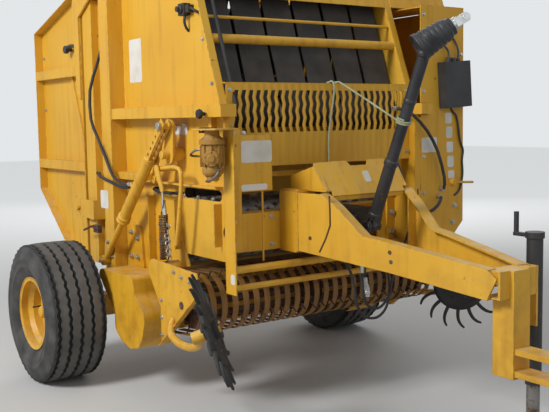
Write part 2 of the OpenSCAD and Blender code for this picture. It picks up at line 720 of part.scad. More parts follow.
// Catches that hold the tailgate shut
catch_pin = [402, 930];
module gate_catches() {
    x0 = -gate_x - 32;
    color(yellow) both() {
        side_plate(x0, 10) polygon([
            [catch_pin.x - 220, catch_pin.y - 60], [catch_pin.x + 40, catch_pin.y - 44], [catch_pin.x + 40, catch_pin.y - 20],
            [catch_pin.x - 16, catch_pin.y - 20], [catch_pin.x - 20, catch_pin.y], [catch_pin.x - 14, catch_pin.y + 22],
            [catch_pin.x + 36, catch_pin.y + 30], [catch_pin.x + 36, catch_pin.y + 54], [catch_pin.x - 220, catch_pin.y + 60]]);
        block([x0, -out_x - seat_gap], [catch_pin.x - 220, catch_pin.x - 190], [catch_pin.y - 60, catch_pin.y + 60]);
    }
}

// Tailgate
gate_front = seam_y + 12;
gate_outline = [
    [gate_front, 590], [700, 650], [gate_rear_y, gate_low_z], [gate_rear_y, gate_high_z],
    [gate_front + 180, roof_z - 196], [gate_front, roof_z - 154]
];
gate_inner = [
    [gate_front + 5, 596], [699, 656], [gate_rear_y - 5, gate_low_z + 2], [gate_rear_y - 5, gate_high_z - 4],
    [gate_front + 180, roof_z - 201], [gate_front + 5, roof_z - 160]
];
lug_d = 22;
lug_loose = 10;
lug = [hinge_y + lug_arm * cos(35), hinge_z + lug_arm * sin(35)];
module gate_side() {
    difference() {
        union() {
            side_plate(-out_x, sheet_t) polygon(gate_outline);
            side_plate(-gate_x, gate_flange + 1) difference() {
                polygon(gate_outline);
                polygon(gate_inner);
            }
            for (z = [1156, 1752])
                block([-gate_x + 4, -out_x + 1], [gate_front + 4, gate_rear_y - 4], [z, z + 60]);
            side_plate(-gate_x - 12, 13) polygon([
                [gate_front + 2, 1600], [gate_front + 60, 1650], [gate_front + 90, 2180], [lug.x + 36, lug.y - 30],
                [lug.x + 30, lug.y + 30], [lug.x - 30, lug.y + 34], [hinge_y - 50, hinge_z + 40],
                [hinge_y - 50, hinge_z - 44], [gate_front + 2, hinge_z - 170]]);
            side_plate(-out_x - 12, 13) polygon([[620, 1754], [652, 1754], [443, 1214], [411, 1214]]);
            cross_round(-gate_x - 50, -out_x + 1, catch_pin.x, catch_pin.y, 30);
            cross_round(-cyl_x - 34, -gate_x - 11, lug.x, lug.y, lug_d);
            cross_round(-cyl_x + 24, -gate_x - 11, lug.x, lug.y, 64);
            cross_round(-cyl_x - 34, -cyl_x - 26, lug.x, lug.y, 64);
        }
        cross_round(-gate_x - 20, -gate_x + 10, hinge_y, hinge_z, hinge_d + 2 * run_clear);
    }
}
module gate_right_wall() { color(yellow) gate_side(); }
module gate_left_wall() { color(yellow) mirror([1, 0, 0]) gate_side(); }
module gate_beams() {
    w = wall_x - seat_gap;
    color(yellow) {
        cross_round(-w, w, 640, 2140, 60);
        block([-w, w], [gate_rear_y - 34, gate_rear_y - 6], [1500, 1580]);
        block([-w, w], [700, 760], [900, 960]);
    }
}
module gate_rolls() { color(steel) roll_set(gate_roll_table); }

// Tailgate cylinders: the barrel turns on the body, the rod ends at the tailgate's lug
cyl_x = rib_x + 50;
cyl_base = [-700, roof_z - 55];
cyl_way = unit(lug - cyl_base);
cyl_len = norm(lug - cyl_base);
barrel_len = cyl_len - 270;
rod_d = 36;
module cyl_part(a, b, d) {
    p = cyl_base + cyl_way * a;
    q = cyl_base + cyl_way * b;
    bar([-cyl_x, p.x, p.y], [-cyl_x, q.x, q.y], d);
}
module gate_barrel() {
    color(yellow) difference() {
        union() {
            cross_round(-cyl_x - 20, -cyl_x + 20, cyl_base.x, cyl_base.y, 66);
            cyl_part(20, barrel_len, 76);
        }
        cross_round(-cyl_x - 30, -cyl_x + 30, cyl_base.x, cyl_base.y, lug_d + 2 * run_clear);
        cyl_part(120, barrel_len + 1, rod_d + 2 * run_clear);
    }
}
module gate_rod() {
    color(steel) difference() {
        union() {
            cross_round(-cyl_x - 20, -cyl_x + 20, lug.x, lug.y, 66);
            cyl_part(330, cyl_len - 26, rod_d);
        }
        cross_round(-cyl_x - 30, -cyl_x + 30, lug.x, lug.y, lug_d + 2 * lug_loose);
    }
}
module right_gate_barrel() { gate_barrel(); }
module right_gate_rod() { gate_rod(); }
module left_gate_barrel() { mirror([1, 0, 0]) gate_barrel(); }
module left_gate_rod() { mirror([1, 0, 0]) gate_rod(); }

// Pickup: side plates on two pins, stripper bands and the reel of tines between them
pivot_y = -780;
pivot_z = 700;
pickup_in = 640;
low_mount = [195 - reel_y, reel_z - 132];
top_mount = [195 - reel_y, reel_z + 133];
pickup_plate = [
    [-1255, 640], [-1215, 740], [pivot_y, pivot_z + 59], [pivot_y + 40, pivot_z - 40], [-845, 520],
    [-845, 322], [-856, 322]
];
module pickup_frame() {
    color(yellow) {
        both() {
            difference() {
                union() {
                    side_plate(-pickup_half - 8, 8) union() {
                        polygon(pickup_plate);
                        translate([pivot_y, pivot_z]) circle(r = 60);
                    }
                    side_plate(-pickup_half - 30, 23) polygon([
                        [-1255, 640], [-856, 322], [-852, 327], [-1249, 643]]);
                    cross_round(-pickup_half - 1, -pickup_in, pivot_y, pivot_z, 80);
                }
                cross_round(-pickup_half - 20, -pickup_half + 20, -reel_y, reel_z, reel_shaft_d + 2 * run_clear);
                cross_round(-pickup_in - 70, -pickup_in + 10, pivot_y, pivot_z, pivot_d + 2 * run_clear);
            }
        }
        cross_round(-pickup_half - 1, pickup_half + 1, low_mount.x, low_mount.y, 60);
        block([-pickup_half - 1, pickup_half + 1], [low_mount.x + 8, low_mount.x + 11], [low_mount.y + 5, top_mount.y - 16]);
        finger_arm([[-pickup_half - 4, -980, 486], [-800, -985, 450], [-838, -1055, 422], [-862, -1180, 410],
                    [-890, -1330, 426], [-930, -1470, 470], [-968, -1548, 520], right_hub - 76 * lean_way(1)]);
        finger_arm([[pickup_half + 4, -930, 476], [806, -936, 440], [860, -975, 418], [930, -1045, 410],
                    [985, -1125, 424], [1010, -1185, 446], left_hub - 76 * lean_way(-1)]);
        hub_stub(right_hub, lean_way(1));
        hub_stub(left_hub, lean_way(-1));
    }
}
module finger_arm(p) { tube(smooth(p), 19); }
module hub_stub(c, n) {
    bar(c - n * 90, c - n * 36, 56);
    bar(c - n * 37, c + n * 36, 30);
}
module pickup_bands() {
    pitch = (2 * pickup_half - 50) / (bands - 1);
    color(yellow) {
        for (i = [0:bands - 1])
            side_plate(-pickup_half + 25 + i * pitch - band_w / 2, band_w) band_shape();
        block([-pickup_half + seat_gap, pickup_half - seat_gap], [top_mount.x, top_mount.x + 8], [top_mount.y - 12, top_mount.y + 18]);
    }
}
band_t = 4;
function band_line(r) = concat(
    [[top_mount.x + reel_y + 4, top_mount.y - reel_z + r - band_r]],
    [for (a = [90:15:270]) r * [cos(a), sin(a)]],
    [[low_mount.x + reel_y - 10, low_mount.y - reel_z - 35 - (r - band_r)]]);
module band_shape() {
    outer = band_line(band_r);
    inner = band_line(band_r - band_t);
    n = len(outer);
    translate([-reel_y, reel_z]) polygon(concat(outer, [for (i = [n - 1:-1:0]) inner[i]]));
}
module wind_guard() {
    w = out_x + 46;
    color(yellow) {
        cross_round(-w + 1, w - 1, -1330, 670, 30);
        cross_round(-w + 1, w - 1, -1330, 755, 37);
        block([-w, -w + 6], [-1350, -front_y - seat_gap], [636, 835.7]);
        block([-w, -w + 24], [-1306, -1300], [636, 835.7]);
        block([w - 6, w], [-1350, case_y[0] - seat_gap], [636, 880]);
        block([w - 24, w], [-1306, -1300], [636, 880]);
    }
}
bar_r = 100;
tine_w = 6;
module pickup_reel() {
    pitch = (2 * pickup_half - 50) / (bands - 1);
    color(black) {
        cross_round(-pickup_half - 10, pickup_half + 10, -reel_y, reel_z, reel_shaft_d);
        for (x = [-0.5, 0.5, bands / 2 - 1])
            reel_disc(-pickup_half + 25 + (x < 0 ? 0.5 : x < 1 ? bands - 1.5 : x + 0.5) * pitch);
        for (k = [0:tine_bars - 1]) {
            a = k * 360 / tine_bars + 20;
            cross_round(-pickup_half + 30, pickup_half - 30, -reel_y + bar_r * cos(a), reel_z + bar_r * sin(a), 27);
            for (i = [0:bands - 2])
                side_plate(-pickup_half + 25 + (i + 0.5) * pitch - tine_w / 2, tine_w)
                    translate([-reel_y, reel_z]) rotate(a) tine_shape();
        }
    }
}
module reel_disc(x) {
    side_plate(x - 9, 4) translate([-reel_y, reel_z]) circle(r = bar_r + 20);
}
module tine_shape() {
    polygon([[bar_r, -3], [tine_r - 50, -3], [tine_r - 4, 10], [tine_r - 7, 16], [tine_r - 52, 3], [bar_r, 3]]);
}

// Finger wheels, each on an axis that leans in and up
right_hub = [-955, -1640, 570];
left_hub = [960, -1255, 487];
function lean_way(side) = unit([side * 0.77, -0.54, 0.35]);
module right_finger_wheel() { color(black) finger_wheel(right_hub, 1); }
module left_finger_wheel() { color(black) finger_wheel(left_hub, -1); }
module finger_wheel(c, side) {
    n = lean_way(side);
    translate(c) rotate([0, acos(n.z), atan2(n.y, n.x)]) difference() {
        union() {
            translate([0, 0, -6]) cylinder(h = 12, r = 150);
            translate([0, 0, -30]) cylinder(h = 60, r = 40);
            for (i = [0:fingers - 1])
                rotate(i * 360 / fingers) translate([0, 0, -10]) linear_extrude(20) finger_shape();
        }
        translate([0, 0, -40]) cylinder(h = 80, d = 30 + 2 * run_clear);
    }
}
module finger_shape() {
    h = finger_t / 2;
    polygon([[142, -h], [finger_r - 62, -h], [finger_r - 24, -h + 10], [finger_r - 4, -h + 30], [finger_r - 14, -h + 42],
             [finger_r - 36, h + 6], [finger_r - 66, h], [142, h]]);
}

// Jack, swung down at the left of the tongue
module jack_mast() {
    color(black) difference() {
        union() {
            translate([jack_x, jack_y, 300]) cylinder(h = 640, d = jack_d);
            cross_round(boss_x, jack_x, jack_y, jack_z, 62);
            translate([jack_x, jack_y, 939]) cylinder(h = 26, d = jack_d + 12);
            translate([jack_x - 12, jack_y - 12, 940]) cube([24, 120, 16]);
            translate([jack_x, jack_y + 100, 955]) cylinder(h = 90, d = 22);
        }
        translate([jack_x, jack_y, 299]) cylinder(h = 300, d = jack_d - 12);
        cross_round(boss_x - 10, boss_x + 48, jack_y, jack_z, 30 + 2 * run_clear);
    }
}
module jack_foot() {
    color(steel) {
        translate([jack_x, jack_y, 0]) cylinder(h = 8, d = foot_d);
        translate([jack_x, jack_y, 7]) cylinder(h = 540, d = jack_d - 12 - 2 * seat_gap);
    }
}

// Hoses clamped to the machine, listed as [x, y, z] from one end to the other
hose_r = 9;
side_hose = [
    [-640, 60, 1930], [-664, 110, 1800], [-700, 142, 1650], [-714, 110, 1480], [-714, 30, 1380], [-714, -80, 1256],
    [-714, -170, 1156], [-713, -280, 1118.6], [-713, port.x + 60, 1118.6], [-713, port.x + 36, 1118.6],
    [-713, port.x + 13.6, 1118.6]
];
lower_hose = [
    [-640, 214.4, 1154], [-640, 196, 1154], [-644, 170, 1154], [-680, 90, 1150], [-706, 20, 1142], [-706, -120, 1120],
    [-694, -240, 1094], [-694, -330, 1098], [-694, port.x + 40, 1116], [-694, port.x + 14, 1118.6]
];
front_hose = [
    [480, rack_y - 0.6, 1510], [480, rack_y - 20, 1510], [486, rack_y - 44, 1506], [540, -1300, 1474],
    [640, -1308, 1386], [726, -1306, 1268], [780, -1304, 1120], [790, -1290, 1060], [790, case_y[0] - 14, 1056],
    [790, case_y[0] - 0.7, 1056]
];
cross_hose = [
    [446, rack_y - 0.6, 1262], [446, rack_y - 20, 1262], [446, rack_y - 44, 1252], [464, -1306, 1120],
    [534, -1314, 966], [640, -1314, 934], [726, -1306, 966], [768, -1292, 1008], [770, case_y[0] - 14, 1012],
    [770, case_y[0] - 0.7, 1012]
];
module hoses() {
    color(rubber) {
        tube(smooth(side_hose, 2), hose_r, 10);
        tube(smooth(lower_hose, 2), hose_r, 10);
        tube(smooth(front_hose, 2), hose_r, 10, [0, 1, 0.2]);
        tube(smooth(cross_hose, 2), hose_r, 10, [0, 1, 0.2]);
    }
}

// Rope that ties the folded driveline to the rack, and its tail
rope_r = 5;
tie_line = [
    [90, -1180, 1647.6], [93, -1196, 1648.2], [96, -1212, 1649], [98, -1232, 1642], [88, -1420, 1566],
    [56, -1640, 1486], [29, -1787, 1439]
];
tail_line = [
    [56, -1180, 1647.6], [54, -1196, 1648.2], [52, -1210, 1649], [47, -1224, 1638], [34, -1223, 1540],
    [18, -1222, 1380], [16, -1225, 1226]
];
module tie_rope() {
    color("#b9bd9e") {
        tube(smooth(tie_line, 2), rope_r, 8);
        tube(smooth(tail_line, 2), rope_r, 8);
        translate(shaft_foot + shaft_way * 536) rotate([0, acos(shaft_way.z), atan2(shaft_way.y, shaft_way.x)])
            rotate_extrude($fn = 24) translate([27.5 + rope_r, 0]) circle(r = rope_r, $fn = 16);
    }
}

stand() right_wall();
stand() left_wall();
stand() cross_frame();
stand() axle();
stand() tongue();
stand() tongue_head();
stand() gearbox();
stand() driveline();
stand() driveline_shields();
stand() rack();
stand() front_hood();
stand() rolls();
stand() front_belts();
stand() drive_sprockets();
stand() drive_case();
stand() control_box();
stand() twine_box();
stand() twine_motor();
stand() tension_barrels();
stand() tension_rods();
stand() tension_levers();
stand() fenders();
stand() lift_linkage();
stand() gate_catches();
stand() drive_door();
stand() gate_right_wall();
stand() gate_left_wall();
stand() gate_beams();
stand() gate_rolls();
stand() rear_belts();
stand() right_gate_barrel();
stand() right_gate_rod();
stand() left_gate_barrel();
stand() left_gate_rod();
stand() right_tyre();
stand() right_rim();
stand() left_tyre();
stand() left_rim();
stand() pickup_frame();
stand() pickup_bands();
stand() wind_guard();
stand() pickup_reel();
stand() right_finger_wheel();
stand() left_finger_wheel();
stand() jack_mast();
stand() jack_foot();
stand() hoses();
stand() tie_rope();
stand() lift_chain();
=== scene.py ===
import math

import bmesh
import bpy
from mathutils import Matrix, Vector


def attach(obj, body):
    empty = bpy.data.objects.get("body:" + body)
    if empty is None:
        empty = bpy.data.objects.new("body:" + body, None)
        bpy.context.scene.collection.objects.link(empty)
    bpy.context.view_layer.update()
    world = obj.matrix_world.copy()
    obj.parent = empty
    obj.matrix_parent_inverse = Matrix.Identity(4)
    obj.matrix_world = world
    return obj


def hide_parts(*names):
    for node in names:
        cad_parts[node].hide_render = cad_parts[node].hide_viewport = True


# Round baler, dressed for the camera. Sizes are millimetres from the axle, as in part.scad, until at() turns
# them into metres from the origin that all pieces share.
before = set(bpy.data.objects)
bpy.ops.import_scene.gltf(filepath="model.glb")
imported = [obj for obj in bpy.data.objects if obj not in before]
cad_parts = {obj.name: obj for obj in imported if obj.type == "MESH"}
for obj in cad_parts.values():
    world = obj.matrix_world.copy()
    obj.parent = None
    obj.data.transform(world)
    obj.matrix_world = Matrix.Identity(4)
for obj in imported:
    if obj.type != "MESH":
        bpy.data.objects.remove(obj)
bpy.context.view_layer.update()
AXLE_Y, TRACK_HALF, TYRE_RADIUS = 803, 1020, 393.5
RIGHT, LEFT, FORWARD, UP = (-1, 0, 0), (1, 0, 0), (0, -1, 0), (0, 0, 1)


def at(x, y, z):
    """A point of part.scad, in metres from the shared origin."""
    return Vector((x / 1000, (y + AXLE_Y) / 1000, z / 1000))


# Camera at the photograph's place, solved from the baler's own edges. Its turn is yaw, pitch and roll in
# degrees.
CAMERA_PLACE, CAMERA_TURN, CAMERA_LENS = (-2828, -4790, 1460), (34.99, 5.62, -0.96), 57.6


def place_camera():
    camera = bpy.data.objects.new("camera", bpy.data.cameras.new("camera"))
    bpy.context.scene.collection.objects.link(camera)
    camera.data.lens = CAMERA_LENS
    camera.data.sensor_width = 36
    yaw, pitch, roll = (math.radians(angle) for angle in CAMERA_TURN)
    ahead = Vector((math.sin(yaw) * math.cos(pitch), math.cos(yaw) * math.cos(pitch), -math.sin(pitch)))
    level = ahead.cross(Vector(UP)).normalized()
    right = Matrix.Rotation(-roll, 3, ahead) @ level
    up = right.cross(ahead)
    camera.matrix_world = Matrix((right, up, -ahead)).transposed().to_4x4()
    camera.location = at(*CAMERA_PLACE)
    bpy.context.scene.camera = camera


place_camera()


# Materials
def linear(hex_code):
    """The linear RGBA of an sRGB hex colour."""
    parts = [int(hex_code[i:i + 2], 16) / 255 for i in (1, 3, 5)]
    return tuple(c / 12.92 if c <= 0.04045 else ((c + 0.055) / 1.055) ** 2.4 for c in parts) + (1,)


def add_node(tree, kind, inputs, **settings):
    """Adds a node with its settings, and gives its inputs a value or a link from another node's socket."""
    made = tree.nodes.new(kind)
    for name, value in settings.items():
        setattr(made, name, value)
    for name, value in inputs.items():
        if isinstance(value, bpy.types.NodeSocket):
            tree.links.new(value, made.inputs[name])
        else:
            made.inputs[name].default_value = value
    return made


def new_surface(name):
    """An empty material, its node tree, and the place that its patterns follow."""
    material = bpy.data.materials.new(name)
    material.use_nodes = True
    tree = material.node_tree
    tree.nodes.clear()
    return material, tree, add_node(tree, "ShaderNodeTexCoord", {}).outputs["Object"]


def close_surface(tree, inputs):
    """Ends a material with its Principled shader, given these inputs, and the output."""
    shader = add_node(tree, "ShaderNodeBsdfPrincipled", inputs)
    add_node(tree, "ShaderNodeOutputMaterial", {"Surface": shader.outputs[0]})


def speckle(tree, place, size, low, high, detail=4.0):
    """A mask of spots from 0 to 1. size is their width in millimetres, low and high where the mask cuts in."""
    noise = add_node(tree, "ShaderNodeTexNoise", {"Vector": place, "Scale": 1000 / size, "Detail": detail})
    spots = add_node(tree, "ShaderNodeMapRange", {"Value": noise.outputs[0], "From Min": low, "From Max": high})
    return spots.outputs[0]


def bumps(tree, place, size, detail, strength, depth, under=None):
    """A normal with bumps. size and depth are millimetres, and under is the normal that they lie on."""
    noise = add_node(tree, "ShaderNodeTexNoise", {"Vector": place, "Scale": 1000 / size, "Detail": detail})
    inputs = {"Height": noise.outputs[0], "Strength": strength, "Distance": depth / 1000}
    if under is not None:
        inputs["Normal"] = under
    return add_node(tree, "ShaderNodeBump", inputs).outputs[0]


def layer(tree, colour, tint, *masks):
    """Lays a tint over a colour as far as all the masks show it. A mask may be a plain share."""
    mask = masks[0]
    for other in masks[1:]:
        mask = add_node(tree, "ShaderNodeMath", {0: mask, 1: other}, operation="MULTIPLY").outputs[0]
    return add_node(tree, "ShaderNodeMix", {0: mask, 6: colour, 7: linear(tint)}, data_type="RGBA").outputs[2]


def sprayed_enamel(name, fresh, faded, streak_and_shade, dust, bare, rough):
    """Enamel sprayed on sheet steel that has worked outdoors: sun fades it in patches, water draws faint
    streaks down it, chaff dust lies on what faces up, low down the streak_and_shade colour lies over it in
    patches as soil, and as painted shade under the machine where that colour is darker than the enamel, and
    corners are rubbed to the bare metal in places."""
    material, tree, place = new_surface(name)
    height = add_node(tree, "ShaderNodeSeparateXYZ", {0: place}).outputs[2]
    normal = add_node(tree, "ShaderNodeNewGeometry", {}).outputs["Normal"]
    upward = add_node(tree, "ShaderNodeSeparateXYZ", {0: normal}).outputs[2]
    patches = speckle(tree, place, 700, 0.35, 0.65)
    colour = layer(tree, linear(fresh), faded, patches)
    tall = add_node(tree, "ShaderNodeMapping", {0: place, "Scale": (1, 1, 0.08)}).outputs[0]
    colour = layer(tree, colour, streak_and_shade, speckle(tree, tall, 45, 0.52, 0.72), 0.30)
    # Towards the bottom the streak_and_shade colour is laid on in patches: soil, and painted shade under the
    # machine where that colour is darker than the enamel
    shade_and_soil_low = add_node(tree, "ShaderNodeMapRange",
                        {"Value": height, "From Min": 1.1, "From Max": 0.40, "To Max": 0.50}).outputs[0]
    colour = layer(tree, colour, streak_and_shade, shade_and_soil_low, speckle(tree, place, 130, 0.46, 0.66, 8.0))
    colour = layer(tree, colour, "#6B4522", speckle(tree, place, 40, 0.70, 0.75, 8.0), 0.75)
    edges = add_node(tree, "ShaderNodeBevel", {"Radius": 0.004}, samples=6).outputs[0]
    turned = add_node(tree, "ShaderNodeVectorMath", {0: edges, 1: normal}, operation="DOT_PRODUCT")
    corner = add_node(tree, "ShaderNodeMapRange",
                      {"Value": turned.outputs["Value"], "From Min": 0.995, "From Max": 0.90}).outputs[0]
    colour = layer(tree, colour, bare, corner, speckle(tree, place, 34, 0.50, 0.60, 8.0))
    lying = add_node(tree, "ShaderNodeMapRange",
                     {"Value": upward, "From Min": 0.35, "From Max": 0.95, "To Max": 0.55}).outputs[0]
    colour = layer(tree, colour, dust, lying, speckle(tree, place, 60, 0.36, 0.62, 8.0))
    gloss = add_node(tree, "ShaderNodeMapRange",
                     {"Value": patches, "To Min": rough, "To Max": rough + 0.16}).outputs[0]
    dented = bumps(tree, place, 312.5, 2.0, 0.25, 20, edges)
    # The skin's orange peel is about 1 mm wide, and is drawn 6 mm wide so that it shows
    skin = bumps(tree, place, 6.25, 3.0, 0.12, 2, dented)
    close_surface(tree, {"Base Color": colour, "Roughness": gloss, "Normal": skin})
    return material


def worn_steel(name, bright, dull, rust, share, rough):
    """Bare or worn steel: crop polishes it, and rust stays in what the crop doesn't reach."""
    material, tree, place = new_surface(name)
    colour = layer(tree, linear(bright), dull, speckle(tree, place, 90, 0.35, 0.65, 6.0))
    rusty = speckle(tree, place, 40, 0.62 - share, 0.70 - share, 8.0)
    metal = add_node(tree, "ShaderNodeMapRange", {"Value": rusty, "To Min": 0.85, "To Max": 0.05}).outputs[0]
    coarse = add_node(tree, "ShaderNodeMapRange", {"Value": rusty, "To Min": rough, "To Max": 0.85}).outputs[0]
    # The steel's pits are finer than 1 mm, and are drawn 3 mm wide so that they show
    close_surface(tree, {"Base Color": layer(tree, colour, rust, rusty), "Metallic": metal, "Roughness": coarse,
                         "Normal": bumps(tree, place, 10 / 3, 4.0, 0.2, 1)})
    return material


def dusty_rubber(name, clean, dust, share, rough, grain):
    """Moulded rubber or plastic, grey with dust in patches. grain is the width of its bumps in millimetres,
    drawn a few times wider than the real grain so that it shows."""
    material, tree, place = new_surface(name)
    colour = layer(tree, linear(clean), dust, speckle(tree, place, 110, 0.40, 0.70, 8.0), share)
    close_surface(tree, {"Base Color": colour, "Roughness": rough,
                         "Normal": bumps(tree, place, grain, 3.0, 0.25, 1.5)})
    return material


def ribbed_rubber(name, groove, rib, wall):
    """Tyre rubber: road dust greys the tops of the ribs, and the grooves between them stay dark."""
    material, tree, place = new_surface(name)
    to_axle = (0, -AXLE_Y / 1000, -TYRE_RADIUS / 1000)
    offset = add_node(tree, "ShaderNodeVectorMath", {0: place, 1: to_axle}, operation="ADD").outputs[0]
    upright = add_node(tree, "ShaderNodeVectorMath", {0: offset, 1: (0, 1, 1)}, operation="MULTIPLY").outputs[0]
    radius = add_node(tree, "ShaderNodeVectorMath", {0: upright}, operation="LENGTH").outputs["Value"]
    # The tread begins 372 to 380 mm from the axle, and the tops of its ribs 384 to 390 mm from it
    tread, tops = (
        add_node(tree, "ShaderNodeMapRange", {"Value": radius, "From Min": low, "From Max": high}).outputs[0]
        for low, high in ((0.372, 0.380), (0.384, 0.390)))
    patches = speckle(tree, place, 90, 0.35, 0.68, 8.0)
    dusty = add_node(tree, "ShaderNodeMapRange", {"Value": patches, "To Min": 0.65, "To Max": 1.0}).outputs[0]
    colour = layer(tree, linear(wall), rib, patches, 0.6)
    colour = layer(tree, colour, groove, tread)
    colour = layer(tree, colour, rib, tops, dusty)
    # Road grit is about 1 mm wide, and is drawn 4.5 mm wide so that it shows
    close_surface(tree, {"Base Color": colour, "Roughness": 0.88,
                         "Normal": bumps(tree, place, 50 / 11, 4.0, 0.35, 2)})
    return material


# Sprayed enamel on sheet steel: a warm yellow with a low gloss, chalked in patches by the sun
YELLOW = sprayed_enamel("yellow_enamel", "#D09A20", "#D9A834", "#94621C", "#CDB585", "#6E5238", 0.42)
# The same enamel under oil and chaff: brown and dull
SOILED = sprayed_enamel("soiled_enamel", "#A97B2B", "#8E6828", "#57401F", "#A8946C", "#4E3A28", 0.60)
# The same enamel where crop slides over it: stained brown and darkened further with painted shade, with grey
# metal at the edges
sprayed_enamel("crop_stained_shaded_enamel", "#8F6325", "#6E4B20", "#3E2A18", "#6B5636", "#5E5248", 0.50)
# Black enamel on castings and forgings: a soft shine, dust on top and grey metal at the edges
BLACK = sprayed_enamel("black_enamel", "#1D1D1F", "#29292B", "#3A3128", "#5A5348", "#75706A", 0.40)
# Steel that crop polishes: grey and fairly bright, with a little rust
STEEL = worn_steel("worn_steel", "#8F8C88", "#6E6A66", "#5A3A24", 0.10, 0.38)
# Steel left to the weather: dull, dark and brown with rust in most places
RUST = worn_steel("rusted_steel", "#6D6863", "#4B443E", "#54331F", 0.22, 0.55)
# Zinc plate on bolts and fittings: pale grey with a silky shine and few stains
PLATED = worn_steel("zinc_plated_steel", "#C9CCCB", "#A7AAA9", "#7A6B58", -0.02, 0.30)
# Moulded tyre rubber: dull, dark in the grooves and grey with dust on the ribs
TYRE = ribbed_rubber("tyre_rubber", "#191919", "#5E5C5A", "#2E2E2E")
# Moulded polyethylene: near black with a soft sheen
PLASTIC = dusty_rubber("black_polyethylene", "#202124", "#45454A", 0.45, 0.48, 3)
# Moulded finger rubber: black and dull, brown with soil in places
FINGER = dusty_rubber("moulded_finger_rubber", "#1B1B1C", "#3A3631", 0.40, 0.70, 4)
# Rubber over woven cloth: dark grey, dull and dusty
dusty_rubber("woven_belt_rubber", "#3A3735", "#5A544D", 0.50, 0.78, 5)
# Hose cover over a braid: black with a faint sheen
HOSE = dusty_rubber("braided_hose_rubber", "#1C1C1D", "#4A4238", 0.45, 0.62, 3)
# Twisted sisal: a pale grey green without any shine
ROPE = dusty_rubber("sisal_rope", "#A9AD8C", "#7F8268", 0.60, 0.92, 2)
# Plain film: off-white, yellowed in patches, with a slight shine
LABEL = dusty_rubber("blank_label_film", "#D9D8D2", "#B5AB93", 0.50, 0.45, 40)

# Finish of each node of part.scad
FINISH = {
    "yellow_enamel": [
        "right_wall", "left_wall", "cross_frame", "axle", "tongue", "tongue_head", "rack", "front_hood",
        "drive_case", "twine_box", "twine_motor", "tension_barrels", "tension_rods", "tension_levers",
        "fenders", "lift_linkage", "gate_catches", "drive_door", "gate_right_wall", "gate_left_wall",
        "gate_beams", "right_gate_barrel", "left_gate_barrel", "right_rim", "left_rim", "pickup_frame",
        "wind_guard"],
    "crop_stained_shaded_enamel": ["pickup_bands"],
    "black_enamel": ["gearbox", "driveline", "jack_mast"],
    "worn_steel": ["rolls", "gate_rolls", "drive_sprockets", "right_gate_rod", "left_gate_rod", "jack_foot"],
    "rusted_steel": ["pickup_reel"],
    "tyre_rubber": ["right_tyre", "left_tyre"],
    "black_polyethylene": ["driveline_shields", "control_box"],
    "moulded_finger_rubber": ["right_finger_wheel", "left_finger_wheel"],
    "woven_belt_rubber": ["front_belts", "rear_belts"],
    "braided_hose_rubber": ["hoses"],
    "sisal_rope": ["tie_rope"],
    "zinc_plated_steel": ["lift_chain"],
}
for finish, names in FINISH.items():
    for name in names:
        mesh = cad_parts[name].data
        mesh.materials.clear()
        mesh.materials.append(bpy.data.materials[finish])


# Building helpers. Radii, heights and sizes are millimetres, and places come from at().
def facing(place, way):
    """Puts a shape's own Z along way at a place."""
    return Matrix.Translation(place) @ Vector(way).to_track_quat("Z", "Y").to_matrix().to_4x4()


def add_rod(mesh, start, end, radius, sides=16, end_radius=None):
    """A round bar or cone, or with 6 sides a hexagon."""
    way = end - start
    bmesh.ops.create_cone(mesh, cap_ends=True, segments=sides, radius1=radius / 1000,
                          radius2=(radius if end_radius is None else end_radius) / 1000,
                          depth=way.length, matrix=facing((start + end) / 2, way))


def add_slab(mesh, low, high):
    bmesh.ops.create_cube(mesh, size=1,
                          matrix=Matrix.Translation((low + high) / 2) @ Matrix.Diagonal(high - low).to_4x4())


def add_lathe(mesh, place, way, profile, steps=32):
    """Spins a profile of (radius, height) round the line through place along way."""
    turn = facing(place, way)
    points = [mesh.verts.new(turn @ Vector((radius / 1000, 0, height / 1000))) for radius, height in profile]
    edges = [mesh.edges.new(pair) for pair in zip(points, points[1:])]
    bmesh.ops.spin(mesh, geom=points + edges, cent=place, axis=Vector(way).normalized(), angle=math.tau,
                   steps=steps, use_merge=True)


def add_bolt(mesh, place, way, size):
    """A washer, a hexagon head and the thread's end. size is the thread's diameter."""
    way = Vector(way).normalized() / 1000
    add_rod(mesh, place - way, place + way * 0.18 * size, 1.05 * size, 20)
    add_rod(mesh, place, place + way * 0.82 * size, 0.92 * size, 6)
    add_rod(mesh, place, place + way * 1.15 * size, 0.45 * size, 12)


def rounded(points, steps=5):
    """A smooth route through points, as part.scad's smooth() makes it."""
    route = []
    for i in range(len(points) - 1):
        a, b, c, d = (points[max(0, min(k, len(points) - 1))] for k in (i - 1, i, i + 1, i + 2))
        for t in (k / steps for k in range(steps)):
            route.append((b * 2 + (c - a) * t + (a * 2 - b * 5 + c * 4 - d) * t * t
                          + (b * 3 - a - c * 3 + d) * t ** 3) / 2)
    return route + [points[-1]]


def route_at(points, steps=5):
    """A smooth route through points of part.scad."""
    return rounded([at(*p) for p in points], steps)


def corners(geometry):
    """The corners among what an operator made."""
    return [v for v in geometry if isinstance(v, bmesh.types.BMVert)]


def stand(mesh, place, across, way):
    """Moves a flat shape to a place, with its own X along across and its Z along way."""
    across, way = Vector(across), Vector(way)
    turn = Matrix((across, way.cross(across), way)).transposed().to_4x4()
    bmesh.ops.transform(mesh, matrix=Matrix.Translation(place) @ turn, verts=mesh.verts)


def rounded_sheet(width, height, corner, segments):
    """A flat sheet with round corners, in millimetres."""
    sheet = bmesh.new()
    bmesh.ops.create_grid(sheet, x_segments=1, y_segments=1, size=0.5)
    bmesh.ops.scale(sheet, vec=(width / 1000, height / 1000, 1), verts=sheet.verts)
    bmesh.ops.bevel(sheet, geom=sheet.verts, affect="VERTICES", offset=corner / 1000, segments=segments,
                    profile=0.5, material=-1)
    return sheet


def merge(mesh, piece):
    """Adds a piece that was built apart."""
    data = bpy.data.meshes.new("piece")
    piece.to_mesh(data)
    piece.free()
    mesh.from_mesh(data)
    bpy.data.meshes.remove(data)


